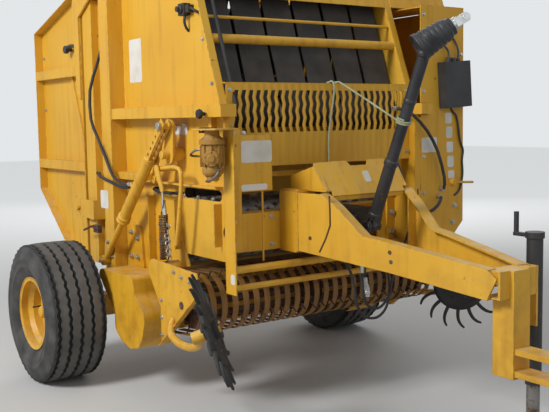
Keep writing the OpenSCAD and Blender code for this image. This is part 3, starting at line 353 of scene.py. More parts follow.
def add_tubes(mesh, routes, radius, closed=False, taper=None, sides=2):
    """Round tubes along routes. taper lists a share of the radius for each point of a route."""
    curve = bpy.data.curves.new("route", "CURVE")
    curve.dimensions = "3D"
    curve.bevel_depth = radius / 1000
    curve.bevel_resolution = sides
    curve.use_fill_caps = not closed
    for route in routes:
        spline = curve.splines.new("POLY")
        spline.points.add(len(route) - 1)
        for i, place in enumerate(route):
            spline.points[i].co = (*place, 1)
            spline.points[i].radius = taper[i] if taper else 1
        spline.use_cyclic_u = closed
    holder = bpy.data.objects.new("route", curve)
    swept = bpy.data.meshes.new_from_object(holder)
    mesh.from_mesh(swept)
    bpy.data.objects.remove(holder)
    bpy.data.curves.remove(curve)
    bpy.data.meshes.remove(swept)


def show(name, mesh, material, body="frame", bevel=0.0, sharp=35):
    """Makes an object of the mesh that rides on a body, with its material. bevel rounds its edges by so
    many millimetres."""
    bmesh.ops.remove_doubles(mesh, verts=mesh.verts, dist=1e-5)
    bmesh.ops.recalc_face_normals(mesh, faces=mesh.faces)
    data = bpy.data.meshes.new(name)
    mesh.to_mesh(data)
    mesh.free()
    data.shade_smooth()
    data.set_sharp_from_angle(angle=math.radians(sharp))
    data.materials.append(material)
    made = bpy.data.objects.new(name, data)
    bpy.context.scene.collection.objects.link(made)
    if bevel:
        rounding = made.modifiers.new("edges", "BEVEL")
        rounding.width = bevel / 1000
        rounding.segments = 2
        rounding.limit_method = "ANGLE"
    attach(made, body)
    return made


# Hydraulic hoses that hang in loops under the tongue, each with a coupler on its end. COUPLER is the coupler's
# section as (radius, height).
HOSE_RADIUS = 6.6
COUPLER = [(0, 0), (15, 0), (15, 12), (13, 14), (15, 17), (15, 30), (11, 33), (11, 46), (7, 48), (0, 48)]
LOOPS = {
    "hanging_hose_a": [
        (-276, -1540, 880), (-238, -1562, 846), (-190, -1584, 792), (-154, -1597, 722), (-136, -1603, 644),
        (-122, -1605, 562), (-70, -1604, 500), (6, -1602, 486), (66, -1598, 520), (98, -1590, 584),
        (108, -1580, 648), (104, -1570, 710), (82, -1561, 763), (30, -1556, 786), (-22, -1560, 764),
        (-44, -1570, 712), (-42, -1578, 652)],
    "hanging_hose_b": [
        (276, -1540, 880), (236, -1564, 844), (176, -1594, 792), (118, -1616, 732), (84, -1627, 662),
        (58, -1630, 588), (-4, -1630, 540), (-70, -1630, 556), (-106, -1632, 616), (-118, -1636, 690),
        (-118, -1638, 760)],
}


def hang_hoses():
    for name, points in LOOPS.items():
        route = route_at(points, 8)
        hose = bmesh.new()
        add_tubes(hose, [route], HOSE_RADIUS, sides=3)
        hose = show(name, hose, HOSE, sharp=60)
        way = (route[-1] - route[-2]).normalized() / 1000
        end = bmesh.new()
        add_rod(end, route[-1] - way * 34, route[-1] + way * 2, 10)
        add_rod(end, route[-1], route[-1] + way * 16, 13, 6)
        add_lathe(end, route[-1] + way * 15, way, COUPLER)
        end = show(name.replace("hose", "coupler"), end, PLATED)


hang_hoses()


# Rope that ties the driveline to the rack, laid from three strands. The strands' lay is as (radius of their
# middles, length of one turn, radius of a strand).
ROPE_LAY = (2.5, 34, 2.7)
TIE_LINE = [(90, -1180, 1647.6), (93, -1196, 1648.2), (96, -1212, 1649), (98, -1232, 1642), (82, -1416, 1566),
            (40, -1632, 1486), (8, -1764, 1440)]
TAIL_LINE = [(56, -1166, 1647.6), (55, -1186, 1649.5), (52, -1206, 1653), (48, -1226, 1648), (44, -1240, 1630),
             (41, -1243, 1600), (36, -1238, 1540), (18, -1226, 1380), (16, -1226, 1226)]
SHAFT_FOOT, SHAFT_TOP = at(0, -1580, 945), at(-5, -1941, 1745)
SHAFT_WAY = (SHAFT_TOP - SHAFT_FOOT).normalized()


def strands(route, radius, pitch):
    """Three strands twisted round a route, one turn in each pitch."""
    even = [route[0]]
    for place in route[1:]:
        count = max(1, round((place - even[-1]).length / 0.005))
        start = even[-1]
        even += [start.lerp(place, (k + 1) / count) for k in range(count)]
    lines = [[], [], []]
    along = 0.0
    for i, place in enumerate(even):
        ahead = (even[min(i + 1, len(even) - 1)] - even[max(i - 1, 0)]).normalized()
        side = ahead.cross(Vector((1, 0.3, 0.1))).normalized()
        along += (place - even[max(i - 1, 0)]).length
        for k, line in enumerate(lines):
            turn = Matrix.Rotation(math.tau * (along * 1000 / pitch + k / 3), 3, ahead)
            line.append(place + turn @ side * radius / 1000)
    return lines


def add_rope(mesh, route):
    middles, pitch, radius = ROPE_LAY
    add_tubes(mesh, strands(route, middles, pitch), radius, sides=1)


def lay_rope():
    rope = bmesh.new()
    add_rope(rope, route_at(TIE_LINE))
    # Wound 2.4 times round the shaft, each turn 10 mm above the last, and three small loops for the knot
    middle = SHAFT_FOOT + SHAFT_WAY * 0.536
    side = SHAFT_WAY.cross(Vector(LEFT)).normalized()
    add_rope(rope, [middle + Matrix.Rotation(math.tau * k / 24, 3, SHAFT_WAY) @ side * 0.0325
                    + SHAFT_WAY * 0.00042 * k for k in range(58)])
    knot = at(8, -1762, 1440)
    for k in range(3):
        axis = Vector((0.4 * k - 0.4, 1, 0.5 * k))
        loop = [knot + Matrix.Rotation(math.tau * j / 10, 3, axis) @ Vector((0.009, 0, 0)) for j in range(10)]
        add_tubes(rope, [loop], 4.2, closed=True, sides=1)
    rope = show("twisted_tie_rope", rope, ROPE, sharp=80)
    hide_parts("tie_rope")
    route = route_at(TAIL_LINE)
    tail = bmesh.new()
    add_rope(tail, route)
    tail = show("rope_tail", tail, ROPE, sharp=80)


lay_rope()


# Road wheels: tyre with zigzag grooves, hub cap, wheel nuts and valve
def tread_profile():
    """The tyre's section as (radius, height), with the sidewall's rings and the five grooves."""
    half = [(190, 117), (212, 133), (222, 142), (240, 152), (262, 161), (264, 164), (270, 165), (274, 164),
            (288, 168), (300, 169), (304, 171), (312, 171), (316, 167), (332, 162), (347, 155), (352, 154)]
    half += [(347.5 + 46 * math.sin(a), 154 - 32 * (1 - math.cos(a))) for a in (0.35, 0.7, 1.0)]
    tread = []
    for middle in (127, 63.5, 0, -63.5, -127):
        crown = TYRE_RADIUS - 5 * (middle / 127) ** 4
        tread += [(crown, middle + 11), (crown - 10, middle + 8.5), (crown - 13, middle + 5),
                  (crown - 13, middle - 5), (crown - 10, middle - 8.5), (crown, middle - 11)]
    section = half + tread + [(r, -h) for r, h in reversed(half)]
    return section + section[:1]


def dress_wheel(word, side):
    centre = at(side * TRACK_HALF, 0, TYRE_RADIUS)
    way = Vector((side, 0, 0))
    steps = 96
    tyre = bmesh.new()
    add_lathe(tyre, centre, way, tread_profile(), steps)
    # The grooves swing 9 mm to and fro from step to step, and every second step is 5 mm lower at the shoulder
    for v in tyre.verts:
        off = v.co - centre
        radius = math.hypot(off.y, off.z) * 1000
        step = round(math.atan2(off.z, off.y) / math.tau * steps) % 2
        if radius > 376 and abs(off.x) < 0.14:
            v.co.x += 0.009 * (step - 0.5)
        elif 360 < radius and step:
            v.co -= Vector((0, off.y, off.z)).normalized() * 0.005
    tyre = show(word + "_ribbed_tyre", tyre, TYRE, word + "_wheel", sharp=50)
    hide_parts(word + "_tyre")
    cap = bmesh.new()
    add_lathe(cap, centre, way,
              [(0, 97), (20, 96), (31, 91), (35, 80), (36, 52), (41, 50), (41, 45), (33, 45)], 40)
    for k in range(3):
        turn = Matrix.Rotation(math.tau * k / 3, 3, "X")
        add_bolt(cap, centre + way * 0.046 + turn @ Vector((0, 0.045, 0)), way, 6)
    show(word + "_hub_cap", cap, YELLOW, word + "_wheel", bevel=0.8)
    nuts = bmesh.new()
    for k in range(6):
        a = math.radians(30 + 60 * k)
        place = centre + Vector((side * 0.017, 0.104 * math.sin(a), 0.104 * math.cos(a)))
        add_lathe(nuts, place, way, [(0, -3), (11, -3), (17, 2), (17, 5), (14, 6), (0, 6)], 20)
        add_rod(nuts, place, place + way * 0.022, 13.5, 6)
        add_rod(nuts, place, place + way * 0.034, 7)
    show(word + "_wheel_nuts", nuts, PLATED, word + "_wheel", bevel=0.6)
    valve = bmesh.new()
    foot, neck, top = (centre + Vector((side * x, y, 0))
                       for x, y in ((0.020, 0.163), (0.062, 0.168), (0.075, 0.169)))
    add_rod(valve, foot, neck, 5, 12)
    add_rod(valve, neck, top, 6.5, 12)
    show(word + "_valve", valve, FINGER, word + "_wheel")


dress_wheel("right", -1)
dress_wheel("left", 1)


# Finger wheels: a moulded disc with sixteen curved rubber fingers. HUBS is as (middle, side that it faces).
HUBS = {"right": ((-955, -1640, 570), 1), "left": ((960, -1255, 487), -1)}
FINGER_LINE = ((128, 0), (168, -2), (196, 0), (220, 7), (240, 20), (253, 36))


def make_finger_wheel(word):
    place, side = HUBS[word]
    way = Vector((side * 0.77, -0.54, 0.35)).normalized()
    lay = (Matrix.Translation(at(*place)) @ Matrix.Rotation(math.atan2(way.y, way.x), 4, "Z")
           @ Matrix.Rotation(math.acos(way.z), 4, "Y"))
    wheel = bmesh.new()
    add_lathe(wheel, at(*place), way, [
        (15.2, -30), (38, -30), (40, -27), (40, -9), (60, -6), (118, -6), (128, -11), (146, -12), (154, -7),
        (155, 0), (154, 7), (146, 12), (128, 11), (118, 6), (60, 6), (40, 9), (40, 27), (38, 30), (15.2, 30),
        (15.2, -30)], 64)
    for k in range(16):
        turn = lay @ Matrix.Rotation(math.tau * k / 16, 4, "Z")
        line = rounded([turn @ Vector((x / 1000, y / 1000, 0)) for x, y in FINGER_LINE], 3)
        share = [1.0 - 0.42 * (j / (len(line) - 1)) ** 2 for j in range(len(line))]
        add_tubes(wheel, [line], 10.5, taper=share, sides=3)
        bmesh.ops.create_uvsphere(wheel, u_segments=12, v_segments=8, radius=0.0061,
                                  matrix=Matrix.Translation(line[-1]))
    wheel = show(word + "_rubber_wheel", wheel, FINGER, word + "_finger_wheel", sharp=50)
    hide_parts(word + "_finger_wheel")
    bolts = bmesh.new()
    for k in range(8):
        for face in (-1, 1):
            spot = lay @ Matrix.Rotation(math.tau * (k + 0.5) / 8, 4, "Z") @ Vector((0.088, 0, face * 0.006))
            add_bolt(bolts, spot, way * face, 6)
    add_rod(bolts, at(*place) - way * 0.048, at(*place) - way * 0.03, 21, 24)
    show(word + "_finger_bolts", bolts, BLACK, word + "_finger_wheel", bevel=0.4)


make_finger_wheel("right")
make_finger_wheel("left")


# Bolts on each body, as rows of (sides, from, to, how many, way, thread). A row on both sides is given at the
# left and mirrored to the right, and one with a single side stands where its numbers put it.
BOTH, ONE = (1, -1), (1,)
BOLT_ROWS = {
    "frame": [
        (ONE, (-620, -726, 1436), (-620, -854, 1441), 2, RIGHT, 14),
        (BOTH, (615.3, -270, 800), (615.3, -270, 690), 2, LEFT, 16),
        (ONE, (-615.3, -190, 830), (-615.3, -190, 690), 2, RIGHT, 16),
        (BOTH, (615.3, 60, 830), (615.3, 60, 690), 2, LEFT, 16),
        (BOTH, (615.3, 140, 800), (615.3, 140, 690), 2, LEFT, 16),
        (ONE, (-601, -1020, 1860), (-601, -1100, 1640), 2, RIGHT, 10),
        (ONE, (-601, -480, 2410), (-601, -160, 2410), 3, RIGHT, 12),
        (ONE, (-601, -1085, 1075), (-601, -500, 1075), 5, RIGHT, 10),
        (ONE, (-601, -720, 900), (-601, -520, 900), 3, RIGHT, 12),
        (ONE, (-601, -720, 820), (-601, -520, 820), 3, RIGHT, 12),
        (ONE, (-693, -30, 760), (-693, -90, 760), 2, RIGHT, 12),
        (ONE, (-693, -30, 680), (-693, -90, 680), 2, RIGHT, 12),
        (ONE, (-560, -1255, 985), (560, -1255, 985), 7, FORWARD, 12),
        (ONE, (-560, -1255, 850), (560, -1255, 850), 7, FORWARD, 12),
        (BOTH, (290, -1404.3, 870), (290, -1404.3, 1070), 3, FORWARD, 16),
        (BOTH, (575, -1214, 1275), (575, -1214, 1605), 3, FORWARD, 10),
        (ONE, (902, -1262, 955), (886, -1262, 858), 2, FORWARD, 14),
        (ONE, (660, -1262, 1240), (660, -1262, 840), 3, FORWARD, 10),
        (ONE, (660, -1262, 1600), (660, -1262, 2020), 3, FORWARD, 10),
        (ONE, (955, -1262, 1600), (955, -1262, 2020), 3, FORWARD, 10),
        (ONE, (-560, -1306, 1400), (-620, -1306, 1400), 2, FORWARD, 10),
        (ONE, (-622, -1306, 880), (-622, -1306, 1080), 3, FORWARD, 10),
    ],
    "tailgate": [
        (BOTH, (601, 420, 2150), (601, 420, 1300), 4, LEFT, 10),
        (BOTH, (601, 1120, 1900), (601, 1120, 1200), 3, LEFT, 10),
    ],
    "pickup": [
        (BOTH, (785, -1150, 690), (785, -1000, 720), 3, LEFT, 10),
        (BOTH, (785, -860, 560), (785, -860, 380), 3, LEFT, 10),
    ],
}


def set_bolts():
    for body, rows in BOLT_ROWS.items():
        mesh = bmesh.new()
        for sides, start, end, count, way, size in rows:
            for side in sides:
                mirror = Vector((side, 1, 1))
                first, last = at(*start) * mirror, at(*end) * mirror
                for k in range(count):
                    add_bolt(mesh, first.lerp(last, k / max(1, count - 1)), Vector(way) * mirror, size)
        show(body + "_bolts", mesh, PLATED, body, bevel=0.4)


set_bolts()


# Blank plates on the side and the front, as (name, face's middle, way, width, height)
PLATES = [
    ("side_plate_high", (-601, -275, 1800), RIGHT, 150, 240),
    ("side_plate_low", (-601, 130, 975), RIGHT, 110, 150),
    ("panel_plate", (-489, -1306, 1310), FORWARD, 176, 104),
    ("panel_plate_low", (-505, -1306, 1140), FORWARD, 150, 30),
    ("beam_plate", (-279, -1255, 940), FORWARD, 60, 40),
    ("apron_plate", (705, -1262, 1305), FORWARD, 116, 84),
    ("case_plate_a", (854, -1262, 1452), FORWARD, 52, 62),
    ("case_plate_b", (860, -1262, 1372), FORWARD, 50, 66),
    ("case_plate_c", (866, -1262, 1288), FORWARD, 52, 62),
    ("case_plate_d", (872, -1262, 1206), FORWARD, 50, 64),
    ("case_plate_e", (878, -1262, 1132), FORWARD, 50, 46),
    ("post_plate", (-693, 2, 1010), RIGHT, 106, 106),
    ("wall_plate", (-601, -768, 1412), RIGHT, 150, 44),
    ("cover_plate_label", (22, -1515, 1175), (0, -0.841, 0.542), 40, 62),
    ("guard_plate", (-647, -1322, 710), RIGHT, 36, 50),
]


def fix_plates():
    for name, place, way, width, height in PLATES:
        mesh = rounded_sheet(width, height, 12, 4)
        lifted = bmesh.ops.extrude_face_region(mesh, geom=mesh.faces)["geom"]
        bmesh.ops.translate(mesh, vec=(0, 0, 0.0012), verts=corners(lifted))
        stand(mesh, at(*place), Vector(UP).cross(Vector(way)).normalized(), way)
        show(name, mesh, LABEL)


fix_plates()


# Hydraulic and electric fittings. HOSE_ENDS is as (from, to) and CABLES as routes.
HOSE_ENDS = [
    ((-713, -368, 1118.6), (-713, -408, 1118.6)), ((-694, -372, 1118), (-694, -408, 1118.6)),
    ((480, -1246, 1508), (480, -1215, 1510)), ((446, -1246, 1256), (446, -1215, 1262)),
    ((790, -1290, 1056), (790, -1263, 1056)), ((770, -1290, 1012), (770, -1263, 1012))]
CABLES = [
    [(870, -1263, 1508), (884, -1270, 1486), (908, -1271, 1464), (924, -1271, 1412), (941, -1270, 1326),
     (966, -1270, 1268), (960, -1269, 1210), (964, -1269, 1124), (940, -1267, 1040), (900, -1264, 1010)],
    [(826, -1290, 1778), (822, -1286, 1830), (770, -1268, 1880), (700, -1268, 1900)],
    [(900, -1290, 1772), (906, -1284, 1836), (880, -1268, 1900), (800, -1266, 1940)]]


def fit_hydraulics():
    steel = bmesh.new()
    for start, end in HOSE_ENDS:
        a, b = at(*start), at(*end)
        add_rod(steel, a, b, 11.5)
        add_rod(steel, a.lerp(b, 0.55), b, 14, 6)
    for side in (-1, 1):
        for inner, outer, y, z, radius, sides in (
                (738, 752, -800, 1436, 19, 24), (733, 752, -30, 655, 13, 20), (764, 768, -700, 2385, 19, 24)):
            add_rod(steel, at(side * inner, y, z), at(side * outer, y, z), radius, sides)
    show("hose_ends", steel, PLATED, bevel=0.5)
    block = bmesh.new()
    add_slab(block, at(-640, -905, 1985), at(-602, -845, 2045))
    add_slab(block, at(-634, -940, 1996), at(-602, -905, 2034))
    add_lathe(block, at(-640, -875, 2015), RIGHT,
              [(0, 0), (22, 0), (22, 8), (14, 12), (14, 26), (0, 26)], 24)
    add_tubes(block, [
        route_at([(-622, -940, 2014), (-634, -972, 2012), (-628, -1000, 1996), (-602, -1012, 1984)]),
        route_at([(-624, -890, 1986), (-630, -892, 1956), (-620, -890, 1926), (-602, -886, 1908)])], 7)
    show("valve_block", block, HOSE, bevel=1.5)
    cable = bmesh.new()
    add_tubes(cable, [route_at(line) for line in CABLES], 6)
    for x, z in ((826, 1768), (862, 1766), (900, 1764)):
        add_rod(cable, at(x, -1290, z - 4), at(x + 1, -1290, z + 22), 12, 16)
    show("signal_cables", cable, PLASTIC)


fit_hydraulics()


# Driveline folded up against the rack: lower joint, two sliding tubes, ribbed bell and the free yoke
def add_yoke(mesh, start, way, pin, length, spread, width):
    """A fork along way: a boss, two arms spread along pin, and the arms' round eyes."""
    way, pin = Vector(way).normalized(), Vector(pin).normalized()
    across = way.cross(pin)
    add_rod(mesh, start, start + way * 0.018, width * 0.62, 32)
    for side in (-1, 1):
        middle = start + way * length / 2000 + pin * side * (spread - 5) / 1000
        turn = Matrix((pin, across, way)).transposed().to_4x4()
        bmesh.ops.create_cube(mesh, size=1, matrix=Matrix.Translation(middle) @ turn
                              @ Matrix.Diagonal((0.010, width / 1000, (length + 10) / 1000, 1)))
        eye = start + way * length / 1000 + pin * side * spread / 1000
        add_rod(mesh, eye - pin * side * 0.011, eye + pin * side * 0.002, width * 0.56, 24)
        add_rod(mesh, eye - pin * side * 0.02, eye + pin * side * 0.006, width * 0.34, 20)


def dress_driveline():
    gear = at(0, -1545.3, 930)
    lower = bmesh.new()
    add_rod(lower, gear, gear + Vector((0, -0.012, 0)), 38, 32)
    add_yoke(lower, gear + Vector((0, -0.008, 0)), (0, -1, 0.2), LEFT, 30, 34, 42)
    add_yoke(lower, SHAFT_FOOT + SHAFT_WAY * 0.045, -SHAFT_WAY, SHAFT_WAY.cross(Vector(LEFT)), 43, 30, 40)
    add_rod(lower, SHAFT_FOOT - Vector((0.036, 0, 0)), SHAFT_FOOT + Vector((0.036, 0, 0)), 12)
    add_lathe(lower, SHAFT_FOOT, SHAFT_WAY, [
        (0, 42), (29, 42), (34, 48), (34, 62), (31, 66), (30, 318), (34, 322), (34, 344), (28, 350), (27, 400),
        (0, 400)], 40)
    lower = show("driveline_joint", lower, BLACK, bevel=1.2)
    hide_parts("driveline")
    tube = bmesh.new()
    add_lathe(tube, SHAFT_FOOT, SHAFT_WAY, [
        (0, 396), (27.5, 396), (27.5, 636), (30, 640), (30, 652), (27.5, 656), (27.5, 860), (33, 866),
        (33, 880), (29, 886), (34, 905), (46, 930), (50, 950), (46, 966), (0, 966)], 40)
    bell, way = at(-32, -1925, 1763), Vector((0.70, -0.47, 0.54)).normalized()
    ribs = []
    for k in range(6):
        low, radius = 10 + 24 * k, 65 - 2.2 * k
        ribs += [(radius, low), (radius, low + 12), (radius - 4, low + 15), (radius - 4, low + 21)]
    add_lathe(tube, bell, way, [(0, 6), (58, 6), (60, 0), (67, 0), (68, 8)] + ribs + [
        (50, 156), (42, 166), (42, 182), (0, 182)], 48)
    shield = show("ribbed_driveline_shield", tube, PLASTIC, bevel=0.8)
    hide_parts("driveline_shields")
    end = bmesh.new()
    base = bell + way * 0.178
    add_rod(end, base, base + way * 0.03, 30, 32)
    pin = way.cross(Vector(UP))
    add_yoke(end, base + way * 0.022, way, pin, 44, 31, 40)
    add_lathe(end, base + way * 0.066, pin, [(0, -33), (11, -33), (11, 33), (0, 33)], 20)
    show("driveline_end_yoke", end, PLATED, bevel=1.0)


dress_driveline()


def add_strap(mesh, start, end, face, width, thick, holes, radius):
    """A flat bar with a row of round holes, its flat side towards face."""
    way = (end - start).normalized()
    face = Vector(face).normalized()
    pitch = (end - start).length / holes
    strap = bmesh.new()
    for k in range(holes):
        ring = bmesh.ops.create_circle(strap, segments=16, radius=radius / 1000)["verts"]
        edges = list({edge for v in ring for edge in v.link_edges})
        outer = corners(bmesh.ops.extrude_edge_only(strap, edges=edges)["geom"])
        for v in outer:
            v.co = Vector((v.co.x * pitch / 2, v.co.y * width / 2000, 0)) / max(abs(v.co.x), abs(v.co.y))
        for v in ring + outer:
            v.co.x += (k + 0.5) * pitch
    bmesh.ops.remove_doubles(strap, verts=strap.verts, dist=1e-5)
    lifted = bmesh.ops.extrude_face_region(strap, geom=strap.faces)["geom"]
    bmesh.ops.translate(strap, vec=(0, 0, thick / 1000), verts=corners(lifted))
    stand(strap, start, way, face)
    merge(mesh, strap)


# Belt tension cylinders, held at the top by two perforated straps, with the levers' adjusting bars
def dress_tension():
    mesh = bmesh.new()
    for side in (-1, 1):
        top, foot = at(side * 713, -800, 1436), at(side * 713, -30, 655)
        way, out = (foot - top).normalized(), Vector((side, 0, 0))
        add_lathe(mesh, top, way, [
            (0, 226), (28, 226), (34, 232), (34, 262), (31, 266), (31, 698), (38, 703), (38, 714), (35, 717),
            (35, 728), (38, 731), (38, 741), (34, 745.5), (0, 745.5)], 40)
        for shift in (-22, 14):
            aside = out * shift / 1000
            add_strap(mesh, top - way * 0.03 + aside, top + way * 0.27 + aside, out, 46, 8, 7, 9)
        add_rod(mesh, top - out * 0.026, top + out * 0.026, 16, 24)
        add_strap(mesh, at(side * 672, -726, 1437), at(side * 672, -590, 1138), out, 40, 7, 11, 6)
        pipe = [at(side * 713, y, z) for y, z in ((-455, 1086), (-438, 1103), (-422, 1118.6))]
        add_tubes(mesh, [pipe], 10)
        add_rod(mesh, pipe[-1] - out * 0.012, pipe[-1] + out * 0.012, 13, 24)
    cylinders = show("strapped_tension_barrels", mesh, YELLOW, bevel=0.8, sharp=30)
    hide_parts("tension_barrels")


dress_tension()


# Twine drive: a ribbed casting with its side cover, hung from the shelf
def cast_twine_drive():
    centre = at(-712, -1270, 0)
    up = Vector(UP)
    mesh = bmesh.new()
    add_lathe(mesh, centre, up, [
        (0, 1180), (24, 1180), (30, 1186), (30, 1202), (44, 1208), (50, 1218), (50, 1238), (45, 1246),
        (45, 1262), (51, 1272), (54, 1300), (52, 1336), (50, 1348), (62, 1350), (62, 1372), (48, 1378),
        (35, 1392), (35, 1415.5), (0, 1415.5)], 40)
    for k in range(10):
        turn = Matrix.Translation(centre + up * 1.296) @ Matrix.Rotation(math.tau * (k + 0.5) / 10, 4, "Z")
        bmesh.ops.create_cube(mesh, size=1, matrix=turn @ Matrix.Translation((0.053, 0, 0))
                              @ Matrix.Diagonal((0.014, 0.006, 0.10, 1)))
    for k in range(6):
        turn = Matrix.Rotation(math.tau * k / 6, 3, "Z")
        add_bolt(mesh, centre + up * 1.372 + turn @ Vector((0.050, 0, 0)), up, 8)
        add_bolt(mesh, centre + up * 1.206 + turn @ Vector((0.037, 0, 0)), -up, 6)
    side = Vector((-0.6, -0.8, 0))
    cover = centre + up * 1.285
    add_lathe(mesh, cover, side,
              [(0, 30), (34, 30), (38, 34), (38, 56), (34, 60), (20, 62), (16, 70), (0, 70)], 32)
    for k in range(5):
        spin = Matrix.Rotation(math.tau * k / 5, 3, side) @ Vector((0, 0, 0.029))
        add_bolt(mesh, cover + side * 0.059 + spin, side, 5)
    add_slab(mesh, at(-668, -1282, 1262), at(-642, -1256, 1330))
    add_slab(mesh, at(-664, -1296, 1250), at(-656, -1244, 1342))
    casting = show("ribbed_twine_drive", mesh, SOILED, bevel=1.2, sharp=40)
    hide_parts("twine_motor")
    arms = bmesh.new()
    add_tubes(arms, [route_at(line) for line in (
        [(-706, -1318, 1240), (-724, -1330, 1216), (-736, -1300, 1188), (-720, -1220, 1176),
         (-664, -1160, 1168)],
        [(-748, -1250, 1330), (-770, -1210, 1322), (-760, -1150, 1300), (-700, -1100, 1290),
         (-604, -1080, 1286)])], 6)
    add_strap(arms, at(-762, -1236, 1416), at(-660, -1236, 1416), (0, 1, 0), 26, 4, 4, 5)
    show("twine_arms", arms, STEEL, bevel=0.5)


cast_twine_drive()


# Guards in front of the wheels: rolled sheet with rounded corners. FENDER is the side's outline as (y, z), and
# its edge is turned in but for the part near the tyre and the lowest part.
FENDER = [(-200, 640), (-167, 612), (-230, 540), (-318, 468), (-367, 406), (-367, 321), (-446, 269),
          (-543, 245), (-641, 265), (-691, 318), (-728, 426), (-717, 461), (-678, 505), (-620, 545),
          (-600, 640)]


def roll_fenders():
    mesh = bmesh.new()
    for side in (-1, 1):
        sheet = bmesh.new()
        ends = [sheet.verts.new(at(side * 820, y, z)) for y, z in FENDER]
        sheet.faces.new(ends)
        bmesh.ops.bevel(sheet, geom=ends, affect="VERTICES", offset=0.036, segments=6, profile=0.5,
                        clamp_overlap=True, material=-1)
        rim = []
        for edge in (e for e in sheet.edges if e.is_boundary):
            middle = (edge.verts[0].co + edge.verts[1].co) / 2
            y, z = middle.y * 1000 - AXLE_Y, middle.z * 1000
            if not (-400 < y < -100 and z < 530) and not (-600 < y < -300 and z < 260):
                rim.append(edge)
        strip = bmesh.ops.extrude_edge_only(sheet, edges=rim)["geom"]
        bmesh.ops.translate(sheet, vec=(-side * 0.199, 0, 0), verts=corners(strip))
        bmesh.ops.recalc_face_normals(sheet, faces=sheet.faces)
        bmesh.ops.solidify(sheet, geom=sheet.faces, thickness=0.0045)
        merge(mesh, sheet)
    fenders = show("rolled_fenders", mesh, YELLOW, bevel=1.0, sharp=30)
    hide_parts("fenders")


roll_fenders()


# Small parts seen on the right side and the front
def tongue_point(side, along, z, out):
    """A place on the outer face of a tongue member, so many millimetres along it from its root and out of it.
    The member runs inwards by 10.84 degrees."""
    turn = math.radians(10.84)
    return at(side * (323 - along * math.sin(turn) + out * math.cos(turn)),
              -1390.3 - along * math.cos(turn) - out * math.sin(turn), z)


def fit_small_parts():
    rubber = bmesh.new()
    strip = [at(-552, -1263 + (z - 1440) * 0.3719, z) for z in (2060, 1960, 1860, 1750, 1640, 1580, 1525)]
    add_tubes(rubber, [strip], 9, sides=3)
    bmesh.ops.create_uvsphere(rubber, u_segments=16, v_segments=8, radius=0.0089,
                              matrix=Matrix.Translation(strip[-1]))
    add_lathe(rubber, at(-693, -1176, 1492), RIGHT,
              [(0, 0), (9, 0), (9, 14), (20, 20), (24, 30), (20, 40), (0, 44)], 28)
    add_tubes(rubber, [route_at([
        (-602, -505, 1098), (-634, -520, 1097), (-644, -560, 1092), (-646, -640, 1086), (-644, -720, 1086),
        (-628, -770, 1087), (-602, -786, 1087)])], 9)
    show("edge_strip", rubber, FINGER)
    # Painted shade: dark rusted-steel beads along the tongue's step edges stand for the shade line under each
    # step, and thin dark discs stand for the shade inside its holes
    shade_lines = bmesh.new()
    for side in (-1, 1):
        add_tubes(shade_lines, [[tongue_point(side, along, z, 1) for along, z in (
            (214, 1102), (217, 1040), (218, 965), (190, 900), (150, 832))]], 4.2)
        for along, z in ((90, 893), (560, 868), (566, 826)):
            hole = tongue_point(side, along, z, 0)
            add_lathe(shade_lines, hole, tongue_point(side, along, z, 10) - hole,
                      [(0, -1), (10, -1), (10, 0.6), (0, 0.6)], 20)
    show("tongue_shade_lines", shade_lines, RUST)
    # Wound 27 times, 22 mm from its middle, with 8.6 mm from turn to turn
    coil = [at(-726, -790 + 22 * math.cos(k * math.tau / 12), 0)
            + Vector((0.022 * math.sin(k * math.tau / 12), 0, 0.985 - 0.00072 * k)) for k in range(330)]
    spring = bmesh.new()
    add_tubes(spring, [coil], 3.2, sides=1)
    add_tubes(spring, [rounded([at(-724, -796, 1060), at(-730, -800, 1030), coil[0]]),
                       rounded([coil[-1], at(-726, -786, 730), at(-726, -782, 705)])], 3.2)
    show("lift_spring", spring, RUST)
    valve = bmesh.new()
    add_slab(valve, at(-722, 56, 806), at(-693, 118, 852))
    add_rod(valve, at(-708, 118, 836), at(-708, 148, 836), 9)
    add_tubes(valve, [route_at([(-714, 110, 846), (-722, 150, 838), (-722, 205, 822), (-716, 268, 806)])], 7)
    add_bolt(valve, at(-722, 74, 830), RIGHT, 8)
    show("lock_valve", valve, RUST, bevel=1.2)
    hook = bmesh.new()
    add_tubes(hook, [route_at([(-640, 640, 1926), (-642, 583, 1942), (-642, 500, 1938), (-642, 446, 1910),
                               (-642, 424, 1866), (-640, 428, 1800)])], 12, sides=3)
    add_lathe(hook, at(-654, 632, 1927), LEFT,
              [(0, 0), (22, 0), (25, 4), (25, 22), (22, 26), (12, 30), (12, 53), (0, 53)], 28)
    add_rod(hook, at(-602, 428, 1806), at(-656, 428, 1806), 16, 24)
    show("gate_hook", hook, BLACK, "tailgate", bevel=0.6)


fit_small_parts()


# Drive door: raised panels, two turn latches and a grab handle on its outer face
DOOR_FACE = 980.4


def dress_door():
    mesh = bmesh.new()
    for low, high in ((900, 1440), (1500, 2020)):
        panel = rounded_sheet(1280, high - low, 50, 5)
        bmesh.ops.inset_region(panel, faces=panel.faces, thickness=0.022, depth=0.006)
        stand(panel, at(DOOR_FACE, -495, (low + high) / 2), (0, 1, 0), LEFT)
        merge(mesh, panel)
    show("door_panels", mesh, YELLOW, "drive_door", sharp=20)
    latches = bmesh.new()
    for z in (1080, 1860):
        place = at(DOOR_FACE, -1196, z)
        add_lathe(latches, place, LEFT, [(0, 0), (26, 0), (26, 4), (22, 8), (12, 10), (12, 20), (0, 20)], 28)
        add_tubes(latches, [rounded([place + Vector(step) for step in (
            (0.016, 0, -0.004), (0.024, 0.02, -0.03), (0.024, 0.022, -0.085))])], 6)
    grab = ((981, 1560), (1008, 1556), (1016, 1530), (1016, 1440), (1008, 1414), (981, 1410))
    add_tubes(latches, [route_at([(x, -1150, z) for x, z in grab])], 7)
    show("door_latches", latches, BLACK, "drive_door", bevel=0.5)


dress_door()


